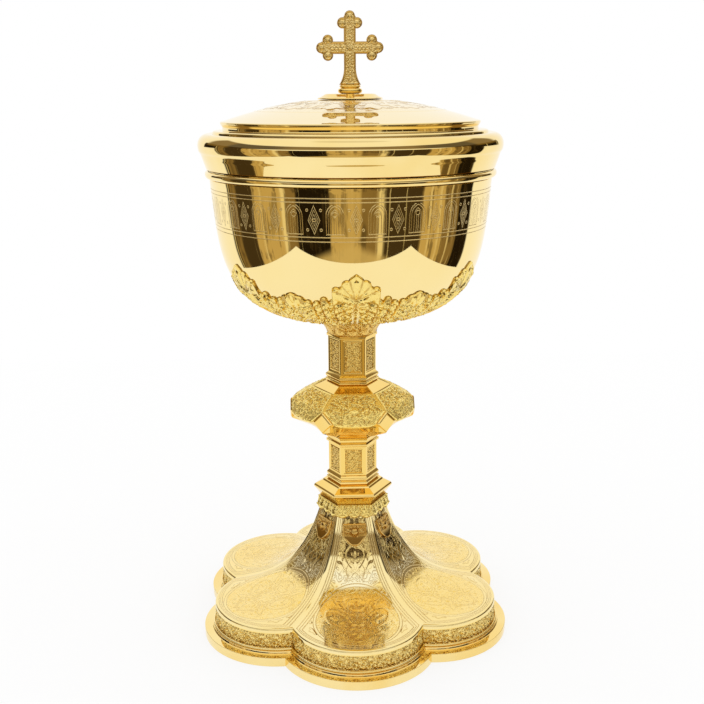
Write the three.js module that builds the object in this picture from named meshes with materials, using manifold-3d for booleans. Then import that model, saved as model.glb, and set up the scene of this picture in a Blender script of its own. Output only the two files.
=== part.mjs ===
// A ciborium: lidded cup on a stem with a knop, six-lobed foot, cross finial.
// Millimetres, +Z up, origin on the table under the axis. The front is towards -Y.
import * as THREE from "three";
import { mergeVertices } from "three/addons/utils/BufferGeometryUtils.js";
import Module from "manifold-3d";

const wasm = await Module();
wasm.setup();

// Fits
const GAP = 0.3; // between pieces that are soldered or pressed together on curved faces
const ROD_CLEARANCE = 0.4; // round the tie rod in each piece it passes through
const MOUTH_CLEARANCE = 0.6; // between the lid's bezel and the inside of the cup

// Facets
const ROUND_SIDES = 36;
const WIRE_SIDES = 8;
const SCREW_SIDES = 12;
const SIDES = 6; // the stem, knop and cone are six-sided, and the foot has six lobes
const LOBE_STEPS = 12;
const CUP_STEPS = 12;

// Foot
const LOBE_PITCH = 43.5; // axis to the centre of each lobe
const FLANGE_LOBE_R = 38.6;
const FLANGE_BORE_LOBE_R = 30;
const FLANGE_EDGE_H = 4.8;
const FLANGE_H = 5.6; // where the gallery stands on it
const BEAD_WIRE_R = 1;
const GALLERY_LOBE_R = 33;
const GALLERY_H = 8.9;
const SHEET = 1.2; // wall of the raised sheet in the foot and the lid
const RIM_H = 2.1; // rounded edge of the foot shell above the gallery
const RIM_INSET = 0.9;
const CONE_TOP_R = 15.2; // at the corners
const CONE_H = 45.9; // from the lobes' top edge to the top of the cone
const RIDGE_FALL = 13.5; // the cone's hollow curve at its corners, and between them
const PANEL_FALL = 11.5;
const FOOT_COLLAR_H = 6.4;
const FOOT_COLLAR_SWELL = 0.8;
const SHIELD_W = 11.4;
const SHIELD_H = 11.6;
const SHIELD_T = 1.5;
const SHIELD_DROP = 16.4; // from the top of the cone to the shield's middle

// Tie rod
const ROD_R = 3;
const ROD_TAIL = 12.5; // below the top of the cone
const WASHER_R = 9.5;
const WASHER_T = 1.6;
const NUT_R = 6.4;
const NUT_H = 5;

// Stem
const PLATE_R = 20.1;
const PLATE_H = 9;
const RING_R = 13.4;
const RING_H = 5;
const LOWER_STEM_R = 12.2;
const LOWER_STEM_H = 15;
const UPPER_STEM_R = 11.9;
const UPPER_STEM_H = 18.4;
const STEM_WALL = 2.4;
const PANEL_DEPTH = 0.7;
const PANEL_FRAME_X = 2.1;
const PANEL_FRAME_Z = 1.9;
const CAPITAL_R = 15.4;
const CAPITAL_H = 8.5;

// Knop
const KNOP_H = 27.2;
const KNOP_MID = 13.2; // widest level above the knop's foot
const KNOP_HALF = 11.4; // from the widest level to the flat ledges
const KNOP_LEDGE_R = 20;
const LOZENGE_R = 31.15; // axis to the lozenge faces
const LOZENGE_HALF = 5.4;
const LOBE_FACE_R = 29.7; // axis to the widest line between two lozenges
const KNOP_TOP_R = 14.4;
const KNOP_NECK_R = 12.7;
const INLAY_DEPTH = 1.2;
const PANEL_BORDER = 0.9;
const LOZENGE_BORDER = 0.45;

// Cup
const CUP_RIM_R = 67;
const CUP_H = 68; // from its flat bottom to its rim
const CUP_CROWN = 15; // the side curve's crown, above the rim
const CUP_SIDE = 5.9; // how upright the side is
const CUP_BELLY = 2.37; // how full the turn into the bottom is
const CUP_TAPER = 0.0013; // share of the radius lost for each millimetre below the rim
const CUP_WALL = 1.2;
const SOCKET_R = 7;
const SOCKET_H = 9;
const CALYX_T = 1.1;
const CALYX_H = 17; // up to the lowest points of its edge
const PALMETTE_RISE = 15.2;
const PALMETTE_HALF_ANGLE = 14; // degrees
const SHOULDER_RISE = 3.4;
const SHOULDER_HALF_ANGLE = 21;
const LEAF_RISE = 4.8;
const LEAF_HALF_ANGLE = 8;
const CALYX_STEPS = 96;

// Lid
const LID_EDGE_R = 67.4;
const LID_SHOULDER_R = 71.9;
const LID_SHOULDER_H = 16.1; // widest level above the lid's lower edge
const DOME_R = 60.2;
const DOME_EDGE_H = 21.7; // foot of the dome above the lid's lower edge
const DOME_WALL_H = 3.8;
const DOME_RISE = 10.1;
const LID_BEAD_H = 3.2;
const LID_BEAD_W = 1.3;
const BEZEL_DEPTH = 7;
const BEZEL_RISE = 4.5;
const BEZEL_WALL = 0.9;

// Finial
const FINIAL_COLLAR_R = 15.8;
const FINIAL_COLLAR_H = 3.1;
const BALL_R = 5.5;
const BALL_H = 4;
const FINIAL_SCREW_R = 2;
const FINIAL_NUT_R = 4.5;
const FINIAL_NUT_H = 3;
const CROSS_H = 33;
const CROSS_SPAN = 31.2;
const CROSS_T = 3.2;
const CROSS_BAR = 5.5;
const CROSS_LOBE_R = 2.45;
const CROSS_FOOT_W = 10;
const CROSS_FOOT_H = 9;

// Levels, each worked out from the piece below it
const GALLERY_TOP = FLANGE_H + GALLERY_H;
const LOBE_TOP = GALLERY_TOP + RIM_H;
const CONE_TOP = LOBE_TOP + CONE_H;
const PLATE_BOTTOM = CONE_TOP;
const LOWER_BASE_BOTTOM = PLATE_BOTTOM + PLATE_H;
const LOWER_STEM_BOTTOM = LOWER_BASE_BOTTOM + RING_H;
const LOWER_CAP_BOTTOM = LOWER_STEM_BOTTOM + LOWER_STEM_H;
const KNOP_BOTTOM = LOWER_CAP_BOTTOM + RING_H;
const UPPER_BASE_BOTTOM = KNOP_BOTTOM + KNOP_H;
const UPPER_STEM_BOTTOM = UPPER_BASE_BOTTOM + RING_H;
const CAPITAL_BOTTOM = UPPER_STEM_BOTTOM + UPPER_STEM_H;
const CALYX_BOTTOM = CAPITAL_BOTTOM + CAPITAL_H;
const CUP_BOTTOM = CALYX_BOTTOM + CALYX_T + GAP;
const CUP_RIM = CUP_BOTTOM + CUP_H;
const LID_EDGE = CUP_RIM + GAP;
const DOME_FOOT = LID_EDGE + DOME_EDGE_H;
const DOME_TOP = DOME_FOOT + DOME_WALL_H + DOME_RISE;
const KNOP_CENTRE = KNOP_BOTTOM + KNOP_MID;
const ROD_BORE_R = ROD_R + ROD_CLEARANCE;

const CORNER = Math.PI / SIDES; // half the angle of one side
const FLAT = Math.cos(CORNER); // distance of a flat for a corner at 1

const GILT = { color: 0xe9c25e, metalness: 1 };
const POLISHED = new THREE.MeshStandardMaterial({ ...GILT, roughness: 0.08 });
const CAST = new THREE.MeshStandardMaterial({ ...GILT, roughness: 0.35 });
const ENGRAVED = new THREE.MeshStandardMaterial({ ...GILT, roughness: 0.22 });
const STEEL = new THREE.MeshStandardMaterial({ color: 0xb9bcc0, metalness: 1, roughness: 0.4 });

// Geometry helpers

// A closed profile of [radius, height] pairs turned round the axis.
function turned(profile, sides = ROUND_SIDES) {
  const points = profile.map(([r, z]) => new THREE.Vector2(r, z));
  const first = points[0];
  if (first.x > 0 && !first.equals(points.at(-1))) points.push(first.clone());
  return new THREE.LatheGeometry(points, sides, Math.PI / 2).rotateX(Math.PI / 2);
}

// A turned ring whose inner wall is a straight bore, at least this wide all round.
function turnedAroundBore(outer, boreR, sides = SIDES) {
  const bore = boreR / Math.cos(Math.PI / sides);
  return turned([[bore, outer[0][1]], ...outer, [bore, outer.at(-1)[1]]], sides);
}

// Rings of equal length joined in order, the last one back to the first.
function lofted(rings) {
  const count = rings[0].length;
  const index = [];
  rings.forEach((ring, i) => {
    const next = (i + 1) % rings.length;
    for (let j = 0; j < count; j += 1) {
      const k = (j + 1) % count;
      const [a, b] = [i * count + j, i * count + k];
      const [c, d] = [next * count + k, next * count + j];
      index.push(a, b, c, a, c, d);
    }
  });
  return new THREE.BufferGeometry().setFromPoints(rings.flat()).setIndex(index);
}

function solid(geometry) {
  const bare = geometry.clone();
  bare.deleteAttribute("normal");
  bare.deleteAttribute("uv");
  const merged = mergeVertices(bare, 1e-4);
  return new wasm.Manifold(
    new wasm.Mesh({
      numProp: 3,
      vertProperties: merged.attributes.position.array,
      triVerts: new Uint32Array(merged.index.array),
    }),
  );
}

function fromSolid(made) {
  const { vertProperties, triVerts } = made.getMesh();
  const geometry = new THREE.BufferGeometry();
  geometry.setAttribute("position", new THREE.BufferAttribute(vertProperties, 3));
  geometry.setIndex(new THREE.BufferAttribute(triVerts, 1));
  return geometry;
}

function joined(...geometries) {
  return fromSolid(geometries.map(solid).reduce((a, b) => a.add(b)));
}

function cut(body, tools) {
  return fromSolid(tools.map(solid).reduce((a, b) => a.subtract(b), solid(body)));
}

// A profile moved sideways by a distance, to the left of its direction of travel.
function offsetProfile(profile, distance) {
  return profile.map(([r, z], i) => {
    const [r0, z0] = profile[Math.max(i - 1, 0)];
    const [r1, z1] = profile[Math.min(i + 1, profile.length - 1)];
    const length = Math.hypot(r1 - r0, z1 - z0);
    return [r - ((z1 - z0) / length) * distance, z + ((r1 - r0) / length) * distance];
  });
}

function steps(count, from, to) {
  return Array.from({ length: count + 1 }, (_, i) => from + ((to - from) * i) / count);
}

const object = new THREE.Group();

function place(name, geometry, material, parent = object) {
  const mesh = new THREE.Mesh(geometry, material);
  mesh.name = name;
  parent.add(mesh);
  return mesh;
}

// Puts one copy of a geometry on each side, the first one at the front.
function placeRound(name, geometry, material, firstAngle = 0) {
  for (let i = 0; i < SIDES; i += 1) {
    const turn = new THREE.Group();
    turn.rotation.z = firstAngle + i * 2 * CORNER;
    object.add(turn);
    place(name + "_" + (i + 1), geometry.clone(), material, turn);
  }
}

// Foot

// Half the arc of a lobe of this radius, from its tip to the notch beside it.
function notchAngle(lobeR) {
  const notchR = LOBE_PITCH * FLAT + Math.sqrt(lobeR ** 2 - (LOBE_PITCH * Math.sin(CORNER)) ** 2);
  return Math.atan2(notchR * Math.sin(CORNER), notchR * FLAT - LOBE_PITCH);
}

// One ring of points, built from a function of the place s across a side, from -1 to 1.
function sidedRing(pointAt) {
  const ring = [];
  for (let side = 0; side < SIDES; side += 1) {
    const middle = -Math.PI / 2 + side * 2 * CORNER;
    for (let i = 0; i < LOBE_STEPS; i += 1) {
      const [out, along, z] = pointAt((2 * i) / LOBE_STEPS - 1);
      const x = out * Math.cos(middle) - along * Math.sin(middle);
      const y = out * Math.sin(middle) + along * Math.cos(middle);
      ring.push(new THREE.Vector3(x, y, z));
    }
  }
  return ring;
}

function lobedRing(lobeR, z) {
  const half = notchAngle(lobeR);
  return sidedRing((s) => [LOBE_PITCH + lobeR * Math.cos(s * half), lobeR * Math.sin(s * half), z]);
}

function lobedBand(profile) {
  return lofted(profile.map(([lobeR, z]) => lobedRing(lobeR, z)));
}

function buildFlange() {
  const top = GALLERY_LOBE_R + 2 * BEAD_WIRE_R + GAP;
  const profile = [
    [FLANGE_BORE_LOBE_R, 0],
    [FLANGE_LOBE_R, 0],
    [FLANGE_LOBE_R, FLANGE_EDGE_H],
    [top, FLANGE_H],
    [FLANGE_BORE_LOBE_R, FLANGE_H],
  ];
  place("foot_flange", lobedBand(profile), POLISHED);
}

function buildFootBead() {
  const centreR = GALLERY_LOBE_R + BEAD_WIRE_R + GAP;
  const centreZ = FLANGE_H + BEAD_WIRE_R + GAP / 2;
  const profile = [];
  for (let i = 0; i < WIRE_SIDES; i += 1) {
    const a = (i * 2 * Math.PI) / WIRE_SIDES;
    profile.push([centreR + BEAD_WIRE_R * Math.cos(a), centreZ + BEAD_WIRE_R * Math.sin(a)]);
  }
  place("foot_bead", lobedBand(profile), POLISHED);
}

function buildGallery() {
  const inner = GALLERY_LOBE_R - SHEET;
  const profile = [
    [inner, FLANGE_H],
    [GALLERY_LOBE_R, FLANGE_H],
    [GALLERY_LOBE_R, GALLERY_TOP],
    [inner, GALLERY_TOP],
  ];
  place("foot_gallery", lobedBand(profile), CAST);
}

// Height of the shell above the lobes' edge: a hollow curve that levels out at the rim.
function shellRise(r, topR, rimR, fall) {
  const rimPart = Math.exp(-(rimR - topR) / fall);
  return (CONE_H * (Math.exp(-(r - topR) / fall) - rimPart)) / (1 - rimPart);
}

const SHELL_LOBE_R = GALLERY_LOBE_R - RIM_INSET;
const SHELL_TIP_R = LOBE_PITCH + SHELL_LOBE_R;
const SHELL_NOTCH_R = (SHELL_LOBE_R * Math.sin(notchAngle(SHELL_LOBE_R))) / Math.sin(CORNER);

// The shell's surface at u, from the rim at 0 to the top of the cone at 1, and s across a side.
function shellPoint(u, s) {
  const half = notchAngle(SHELL_LOBE_R);
  const share = (1 - u) ** 1.5;
  const ridgeR = CONE_TOP_R + (SHELL_NOTCH_R - CONE_TOP_R) * share;
  const panelTopR = CONE_TOP_R * FLAT;
  const panelR = panelTopR + (SHELL_TIP_R - panelTopR) * share;
  const ridgeZ = LOBE_TOP + shellRise(ridgeR, CONE_TOP_R, SHELL_NOTCH_R, RIDGE_FALL);
  const panelZ = LOBE_TOP + shellRise(panelR, panelTopR, SHELL_TIP_R, PANEL_FALL);
  const bulge = (Math.cos(s * half) - Math.cos(half)) / (1 - Math.cos(half));
  const out = ridgeR * FLAT + (panelR - ridgeR * FLAT) * bulge;
  const along = (ridgeR * Math.sin(CORNER) * Math.sin(s * half)) / Math.sin(half);
  return [out, along, ridgeZ + (panelZ - ridgeZ) * bulge];
}

function buildFootShell() {
  const outer = steps(8, 0, 1).map((u) => sidedRing((s) => shellPoint(u, s)));
  const edge = [
    lobedRing(GALLERY_LOBE_R, GALLERY_TOP),
    lobedRing(GALLERY_LOBE_R, GALLERY_TOP + RIM_H / 3),
    lobedRing(GALLERY_LOBE_R - RIM_INSET / 3, LOBE_TOP - RIM_H / 6),
  ];
  const inner = steps(5, 0, 1)
    .map((u) =>
      sidedRing((s) => {
        const [out, along, z] = shellPoint(u, s);
        const wall = 1 - (SHEET * 1.4) / Math.hypot(out, along);
        return [out * wall, along * wall, z - SHEET];
      }),
    )
    .reverse();
  const bore = (z) =>
    sidedRing((s) => {
      const a = s * CORNER;
      return [ROD_BORE_R * Math.cos(a), ROD_BORE_R * Math.sin(a), z];
    });
  const foot = lobedRing(GALLERY_LOBE_R - SHEET, GALLERY_TOP);
  const rings = [foot, ...edge, ...outer, bore(CONE_TOP), bore(CONE_TOP - SHEET), ...inner];
  place("foot_shell", lofted(rings), ENGRAVED);
}

// Corner radius of the cone at a height, found from its hollow curve.
function coneCornerR(z) {
  const rimPart = Math.exp(-(SHELL_NOTCH_R - CONE_TOP_R) / RIDGE_FALL);
  const level = ((z - LOBE_TOP) / CONE_H) * (1 - rimPart) + rimPart;
  return CONE_TOP_R - RIDGE_FALL * Math.log(level);
}

function buildFootCollar() {
  const bottom = CONE_TOP - FOOT_COLLAR_H;
  const levels = steps(3, bottom, CONE_TOP);
  const inner = levels.map((z) => [coneCornerR(z) + GAP / FLAT, z]);
  const outer = levels.map((z) => [coneCornerR(bottom) + GAP + FOOT_COLLAR_SWELL, z]);
  outer[0][0] += FOOT_COLLAR_SWELL / 2;
  outer.at(-1)[0] -= FOOT_COLLAR_SWELL / 2;
  place("foot_collar", turned([...outer, ...inner.reverse()], SIDES), CAST);
}

function buildShields() {
  const half = SHIELD_W / 2;
  const outline = new THREE.Shape();
  outline.moveTo(-half, SHIELD_H / 2);
  outline.lineTo(half, SHIELD_H / 2);
  outline.lineTo(half, 0);
  outline.quadraticCurveTo(half, -SHIELD_H / 3, 0, -SHIELD_H / 2);
  outline.quadraticCurveTo(-half, -SHIELD_H / 3, -half, 0);
  const plate = new THREE.ExtrudeGeometry(outline, {
    depth: SHIELD_T,
    bevelEnabled: false,
    curveSegments: 4,
  });
  const topZ = CONE_TOP - SHIELD_DROP + SHIELD_H / 2;
  const lowZ = CONE_TOP - SHIELD_DROP - SHIELD_H / 2;
  const topR = coneCornerR(topZ) * FLAT;
  const lowR = coneCornerR(lowZ) * FLAT;
  const lean = Math.atan2(lowR - topR, topZ - lowZ);
  plate.rotateX(Math.PI / 2 - lean);
  plate.translate(0, -((topR + lowR) / 2 + GAP), (topZ + lowZ) / 2);
  placeRound("foot_shield", plate, CAST);
}

// Tie rod

function buildTieRod() {
  const bottom = CONE_TOP - ROD_TAIL;
  const top = CUP_BOTTOM - 2 * GAP - SHEET;
  const washerTop = CONE_TOP - SHEET;
  const nutTop = washerTop - WASHER_T;
  const rod = [[0, bottom], [ROD_R, bottom], [ROD_R, top], [0, top]];
  const washer = [[WASHER_R, washerTop - WASHER_T], [WASHER_R, washerTop]];
  place("tie_rod", turned(rod, SCREW_SIDES), STEEL);
  place("tie_washer", turnedAroundBore(washer, ROD_BORE_R, SCREW_SIDES), STEEL);
  const nut = [[NUT_R, nutTop - NUT_H], [NUT_R, nutTop]];
  place("tie_nut", turnedAroundBore(nut, ROD_BORE_R), STEEL);
}

// Stem

function buildStemPlate() {
  const z = PLATE_BOTTOM;
  const step = PLATE_R - 3;
  const profile = [
    [step, z],
    [step, z + 1.2],
    [PLATE_R - 0.6, z + 1.9],
    [PLATE_R, z + 2.5],
    [PLATE_R, z + 4.1],
    [PLATE_R - 2.1, z + 5],
    [RING_R + 2.4, z + 6.6],
    [RING_R + 0.8, z + 8],
    [RING_R, z + PLATE_H],
  ];
  place("stem_plate", turnedAroundBore(profile, ROD_BORE_R), POLISHED);
}

// Two rolls with a groove between them, on a ring of the stem's section.
function ringProfile(z, lowR, highR) {
  return [
    [lowR, z],
    [RING_R, z + 0.6],
    [RING_R, z + 1.7],
    [RING_R - 0.9, z + 2.2],
    [RING_R - 0.1, z + 2.8],
    [RING_R - 0.1, z + 3.8],
    [highR, z + RING_H],
  ];
}

function buildRing(name, z, lowR, highR) {
  place(name, turnedAroundBore(ringProfile(z, lowR, highR), ROD_BORE_R), POLISHED);
}

// A six-sided tube with a sunk panel in each face.
function buildStemTube(name, z, r, height) {
  const inner = r - STEM_WALL / FLAT;
  const tube = turned([[r, z], [r, z + height], [inner, z + height], [inner, z]], SIDES);
  const panelW = r - 2 * PANEL_FRAME_X;
  const panelH = height - 2 * PANEL_FRAME_Z;
  const sunk = Array.from({ length: SIDES }, (_, i) =>
    new THREE.BoxGeometry(panelW, 2 * PANEL_DEPTH, panelH)
      .translate(0, -r * FLAT, z + height / 2)
      .rotateZ(i * 2 * CORNER),
  );
  place(name, cut(tube, sunk), ENGRAVED);
}

function buildCapital() {
  const z = CAPITAL_BOTTOM;
  const profile = [
    [UPPER_STEM_R + 0.7, z],
    [UPPER_STEM_R + 0.7, z + 1.2],
    [UPPER_STEM_R + 0.3, z + 1.8],
    [UPPER_STEM_R + 0.8, z + 4],
    [UPPER_STEM_R + 2.2, z + 6],
    [CAPITAL_R, z + 7.2],
    [CAPITAL_R, z + CAPITAL_H],
  ];
  place("capital", turnedAroundBore(profile, SOCKET_R + GAP, 2 * SIDES), CAST);
}

// Knop

// Corner, beside the corner, and middle of a side, for each level of the knop.
function knopLevels() {
  const beside = Math.atan2(LOZENGE_HALF, LOZENGE_R);
  const onFlat = (flatR) => flatR / Math.cos(CORNER - beside);
  const ledgeFlat = KNOP_LEDGE_R * FLAT;
  const browFlat = LOZENGE_R * FLAT;
  const lowFlat = 21.5;
  const footFlat = KNOP_TOP_R * FLAT;
  const up = (z) => KNOP_CENTRE + z;
  return {
    beside,
    ledge: { z: up(KNOP_HALF), corner: KNOP_LEDGE_R, side: onFlat(ledgeFlat), middle: ledgeFlat },
    brow: { z: up(LOZENGE_HALF), corner: LOZENGE_R, side: onFlat(browFlat), middle: browFlat },
    waist: {
      z: up(0),
      corner: LOZENGE_R,
      side: Math.hypot(LOZENGE_R, LOZENGE_HALF),
      middle: LOBE_FACE_R,
    },
    chin: { z: up(-LOZENGE_HALF), corner: LOZENGE_R, side: 26.4, middle: lowFlat },
    foot: { z: up(-KNOP_HALF), corner: KNOP_TOP_R + 2, side: onFlat(footFlat + 1.7), middle: footFlat + 1.7 },
  };
}

function knopRing({ z, corner, side, middle }, beside) {
  const ring = [];
  const add = (r, angle) => ring.push(new THREE.Vector3(r * Math.cos(angle), r * Math.sin(angle), z));
  for (let i = 0; i < SIDES; i += 1) {
    const a = i * 2 * CORNER;
    add(corner, a);
    add(side, a + beside);
    add(middle, a + CORNER);
    add(side, a + 2 * CORNER - beside);
  }
  return ring;
}

function evenRing(r, z, beside) {
  const flat = r * FLAT;
  return knopRing({ z, corner: r, side: flat / Math.cos(CORNER - beside), middle: flat }, beside);
}

// A bent plate with the given outline, drawn in by a border and as deep as asked.
function inlay(outline, out, border, outerLift, depth) {
  const centre = outline.reduce((sum, p) => sum.add(p), new THREE.Vector3());
  centre.divideScalar(outline.length);
  const drawn = outline.map((p) => {
    const way = centre.clone().sub(p);
    return p.clone().addScaledVector(way, border / way.length());
  });
  const front = drawn.map((p) => p.clone().addScaledVector(out, outerLift));
  const back = drawn.map((p) => p.clone().addScaledVector(out, -depth));
  const count = outline.length;
  const points = [...front, ...back];
  const index = [];
  for (let i = 1; i < count - 1; i += 1) {
    index.push(0, i, i + 1);
    index.push(count, count + i + 1, count + i);
  }
  for (let i = 0; i < count; i += 1) {
    const k = (i + 1) % count;
    index.push(i, count + i, count + k, i, count + k, k);
  }
  return new THREE.BufferGeometry().setFromPoints(points).setIndex(index);
}

function buildKnop() {
  const levels = knopLevels();
  const { beside, ledge, brow, waist, chin, foot } = levels;
  const neck = KNOP_BOTTOM;
  const top = KNOP_BOTTOM + KNOP_H;
  const rings = [
    evenRing(ROD_BORE_R / FLAT, neck, beside),
    evenRing(KNOP_TOP_R - 0.4, neck, beside),
    ...[foot, chin, waist, brow, ledge].map((level) => knopRing(level, beside)),
    evenRing(KNOP_TOP_R, ledge.z, beside),
    evenRing(KNOP_NECK_R, top, beside),
    evenRing(ROD_BORE_R / FLAT, top, beside),
  ];
  const at = (r, angle, z) => new THREE.Vector3(r * Math.cos(angle), r * Math.sin(angle), z);
  const front = -Math.PI / 2;
  const corner = front + CORNER;
  const panel = [
    at(brow.corner, corner, brow.z),
    at(ledge.corner, corner, ledge.z),
    at(ledge.corner, front - CORNER, ledge.z),
    at(brow.corner, front - CORNER, brow.z),
    at(waist.side, front - CORNER + beside, waist.z),
    at(waist.side, corner - beside, waist.z),
  ];
  const lozenge = [
    new THREE.Vector3(LOZENGE_R, LOZENGE_HALF, KNOP_CENTRE),
    new THREE.Vector3(LOZENGE_R, 0, KNOP_CENTRE + LOZENGE_HALF),
    new THREE.Vector3(LOZENGE_R, -LOZENGE_HALF, KNOP_CENTRE),
    new THREE.Vector3(LOZENGE_R, 0, KNOP_CENTRE - LOZENGE_HALF),
  ];
  const panelOut = new THREE.Vector3(0, -0.62, 0.78).normalize();
  const lozengeOut = new THREE.Vector3(1, 0, 0);
  const plate = inlay(panel, panelOut, PANEL_BORDER + GAP, 0, INLAY_DEPTH);
  const boss = inlay(lozenge, lozengeOut, LOZENGE_BORDER + GAP, 0.2, INLAY_DEPTH);
  const recesses = [];
  for (let i = 0; i < SIDES; i += 1) {
    const turn = i * 2 * CORNER;
    recesses.push(inlay(panel, panelOut, PANEL_BORDER, 3, INLAY_DEPTH + GAP).rotateZ(turn));
    recesses.push(inlay(lozenge, lozengeOut, LOZENGE_BORDER, 3, INLAY_DEPTH + GAP).rotateZ(turn));
  }
  place("knop_body", cut(lofted(rings), recesses), POLISHED);
  placeRound("knop_panel", plate, CAST);
  placeRound("knop_lozenge", boss, POLISHED);
}

// Cup

function cupRadius(z) {
  const crown = CUP_RIM + CUP_CROWN;
  const depth = (crown - z) / (crown - CUP_BOTTOM);
  const round = (1 - depth ** CUP_SIDE) ** (1 / CUP_BELLY);
  return CUP_RIM_R * round * (1 - CUP_TAPER * (CUP_RIM - z));
}

// The bowl's outside from the flat of its bottom to its rim, closer together where it turns.
function cupOutline(count) {
  const start = CUP_BOTTOM + 0.15;
  const curve = steps(count, 0, 1).map((t) => {
    const z = start + (CUP_RIM - start) * t ** 2.2;
    return [cupRadius(z), z];
  });
  return [[0.8 * curve[0][0], CUP_BOTTOM], ...curve];
}

function buildCup() {
  const outer = cupOutline(CUP_STEPS);
  const inner = offsetProfile(outer, CUP_WALL).reverse();
  inner[0][1] = CUP_RIM;
  place("cup_bowl", turned([[0, CUP_BOTTOM], ...outer, ...inner, [0, inner.at(-1)[1]]]), POLISHED);
}

function buildSocket() {
  const bottom = CUP_BOTTOM - SOCKET_H;
  const boreTop = CUP_BOTTOM - SHEET;
  const profile = [
    [ROD_BORE_R, bottom],
    [SOCKET_R, bottom],
    [SOCKET_R, CUP_BOTTOM],
    [0, CUP_BOTTOM],
    [0, boreTop],
    [ROD_BORE_R, boreTop],
  ];
  place("cup_socket", turned(profile.slice(3).concat(profile.slice(0, 4)), SCREW_SIDES), CAST);
}

// A pointed bump: 1 in the middle, falling to 0 at half its width.
function pointed(angle, half, power) {
  return Math.max(0, 1 - Math.abs(angle) / half) ** power;
}

// Height of the calyx's edge, at an angle in degrees from a palmette's middle.
function calyxEdge(angle) {
  const fromLeaf = THREE.MathUtils.radToDeg(CORNER) - Math.abs(angle);
  const palmette = PALMETTE_RISE * pointed(angle, PALMETTE_HALF_ANGLE, 0.55);
  const shoulder = SHOULDER_RISE * pointed(angle, SHOULDER_HALF_ANGLE, 0.35);
  const leaf = LEAF_RISE * pointed(fromLeaf, LEAF_HALF_ANGLE, 0.8);
  return CALYX_BOTTOM + CALYX_H + Math.max(palmette, shoulder, leaf);
}

// A shell that fits the bowl's outside, with its top edge cut to palmettes and leaves.
function buildCalyx() {
  const boreR = SOCKET_R + GAP;
  const bowl = cupOutline(CUP_STEPS);
  const seat = [[boreR, CUP_BOTTOM], ...bowl.slice(1)];
  const back = offsetProfile(seat, -GAP);
  const front = offsetProfile(seat, -GAP - CALYX_T).reverse();
  back[0][0] = boreR;
  front.at(-1)[0] = boreR;
  const clear = 2 * CUP_RIM_R;
  const edge = (r, top) =>
    Array.from({ length: CALYX_STEPS }, (_, j) => {
      const turn = (j * 360) / CALYX_STEPS;
      const side = THREE.MathUtils.radToDeg(2 * CORNER);
      const angle = THREE.MathUtils.euclideanModulo(turn + side / 2, side) - side / 2;
      const a = THREE.MathUtils.degToRad(turn);
      return new THREE.Vector3(r * Math.sin(a), -r * Math.cos(a), top ?? calyxEdge(angle));
    });
  const above = lofted([edge(SOCKET_R), edge(clear), edge(clear, CUP_RIM + clear), edge(SOCKET_R, CUP_RIM + clear)]);
  place("calyx", cut(turned([...back.reverse(), ...front.reverse()]), [above]), CAST);
}

// Lid

function domeHeight(r) {
  return DOME_TOP - DOME_RISE * (r / DOME_R) ** 2.07;
}

// The lid's outside from its lower edge to its crown.
function lidOutline() {
  const z = LID_EDGE;
  const shoulder = z + LID_SHOULDER_H;
  const step = DOME_FOOT;
  return [
    [LID_EDGE_R, z],
    [LID_EDGE_R, z + LID_BEAD_H + GAP],
    [LID_EDGE_R + 0.9, z + 4.6],
    [LID_EDGE_R + 1.6, z + 7.8],
    [LID_EDGE_R + 3.3, z + 12.3],
    [LID_SHOULDER_R - 0.2, shoulder - 1.6],
    [LID_SHOULDER_R, shoulder],
    [LID_SHOULDER_R - 0.4, shoulder + 1.8],
    [LID_SHOULDER_R - 1.7, shoulder + 3.3],
    [LID_SHOULDER_R - 3.6, shoulder + 4.3],
    [LID_SHOULDER_R - 5.5, shoulder + 4.7],
    [DOME_R + 4.8, step - 1.2],
    [DOME_R + 4.3, step],
    [DOME_R + 3.2, step + 0.6],
    [DOME_R + 1.6, step + 0.5],
    [DOME_R + 0.2, step],
    [DOME_R + 0.3, step + 1.2],
    [DOME_R + 0.6, step + 2.4],
    [DOME_R, step + DOME_WALL_H],
    ...[56, 48, 38, 28, 18, 9].map((r) => [r, domeHeight(r)]),
    [FINIAL_SCREW_R + GAP, DOME_TOP],
  ];
}

function buildLid() {
  const outer = lidOutline();
  const skin = outer.filter((_, i) => ![11, 13, 15, 16].includes(i));
  const inner = offsetProfile(skin, SHEET).reverse();
  inner.at(-1)[1] = LID_EDGE;
  inner[0][0] = FINIAL_SCREW_R + GAP;
  place("lid_shell", turned([...outer, ...inner]), POLISHED);
}

function buildLidBead() {
  const inner = LID_EDGE_R + GAP;
  const low = LID_EDGE;
  const profile = [
    [inner, low],
    [inner + 0.6 * LID_BEAD_W, low],
    [inner + LID_BEAD_W, low + 0.3 * LID_BEAD_H],
    [inner + LID_BEAD_W, low + 0.7 * LID_BEAD_H],
    [inner + 0.6 * LID_BEAD_W, low + LID_BEAD_H],
    [inner, low + LID_BEAD_H],
  ];
  place("lid_bead", turned(profile), POLISHED);
}

function buildBezel() {
  const seatR = LID_EDGE_R - SHEET - GAP;
  const mouthR = CUP_RIM_R - CUP_WALL - MOUTH_CLEARANCE;
  const outerR = Math.min(seatR, mouthR);
  const innerR = outerR - BEZEL_WALL;
  const low = CUP_RIM - BEZEL_DEPTH;
  const high = LID_EDGE + BEZEL_RISE;
  const lead = 0.6; // drawn in at the bottom, to find the mouth easily
  const profile = [
    [innerR, low],
    [outerR - lead, low],
    [outerR, low + 2],
    [outerR, LID_EDGE],
    [seatR, LID_EDGE],
    [seatR, high],
    [innerR, high],
  ];
  place("lid_bezel", turned(profile), POLISHED);
}

// Finial

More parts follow.
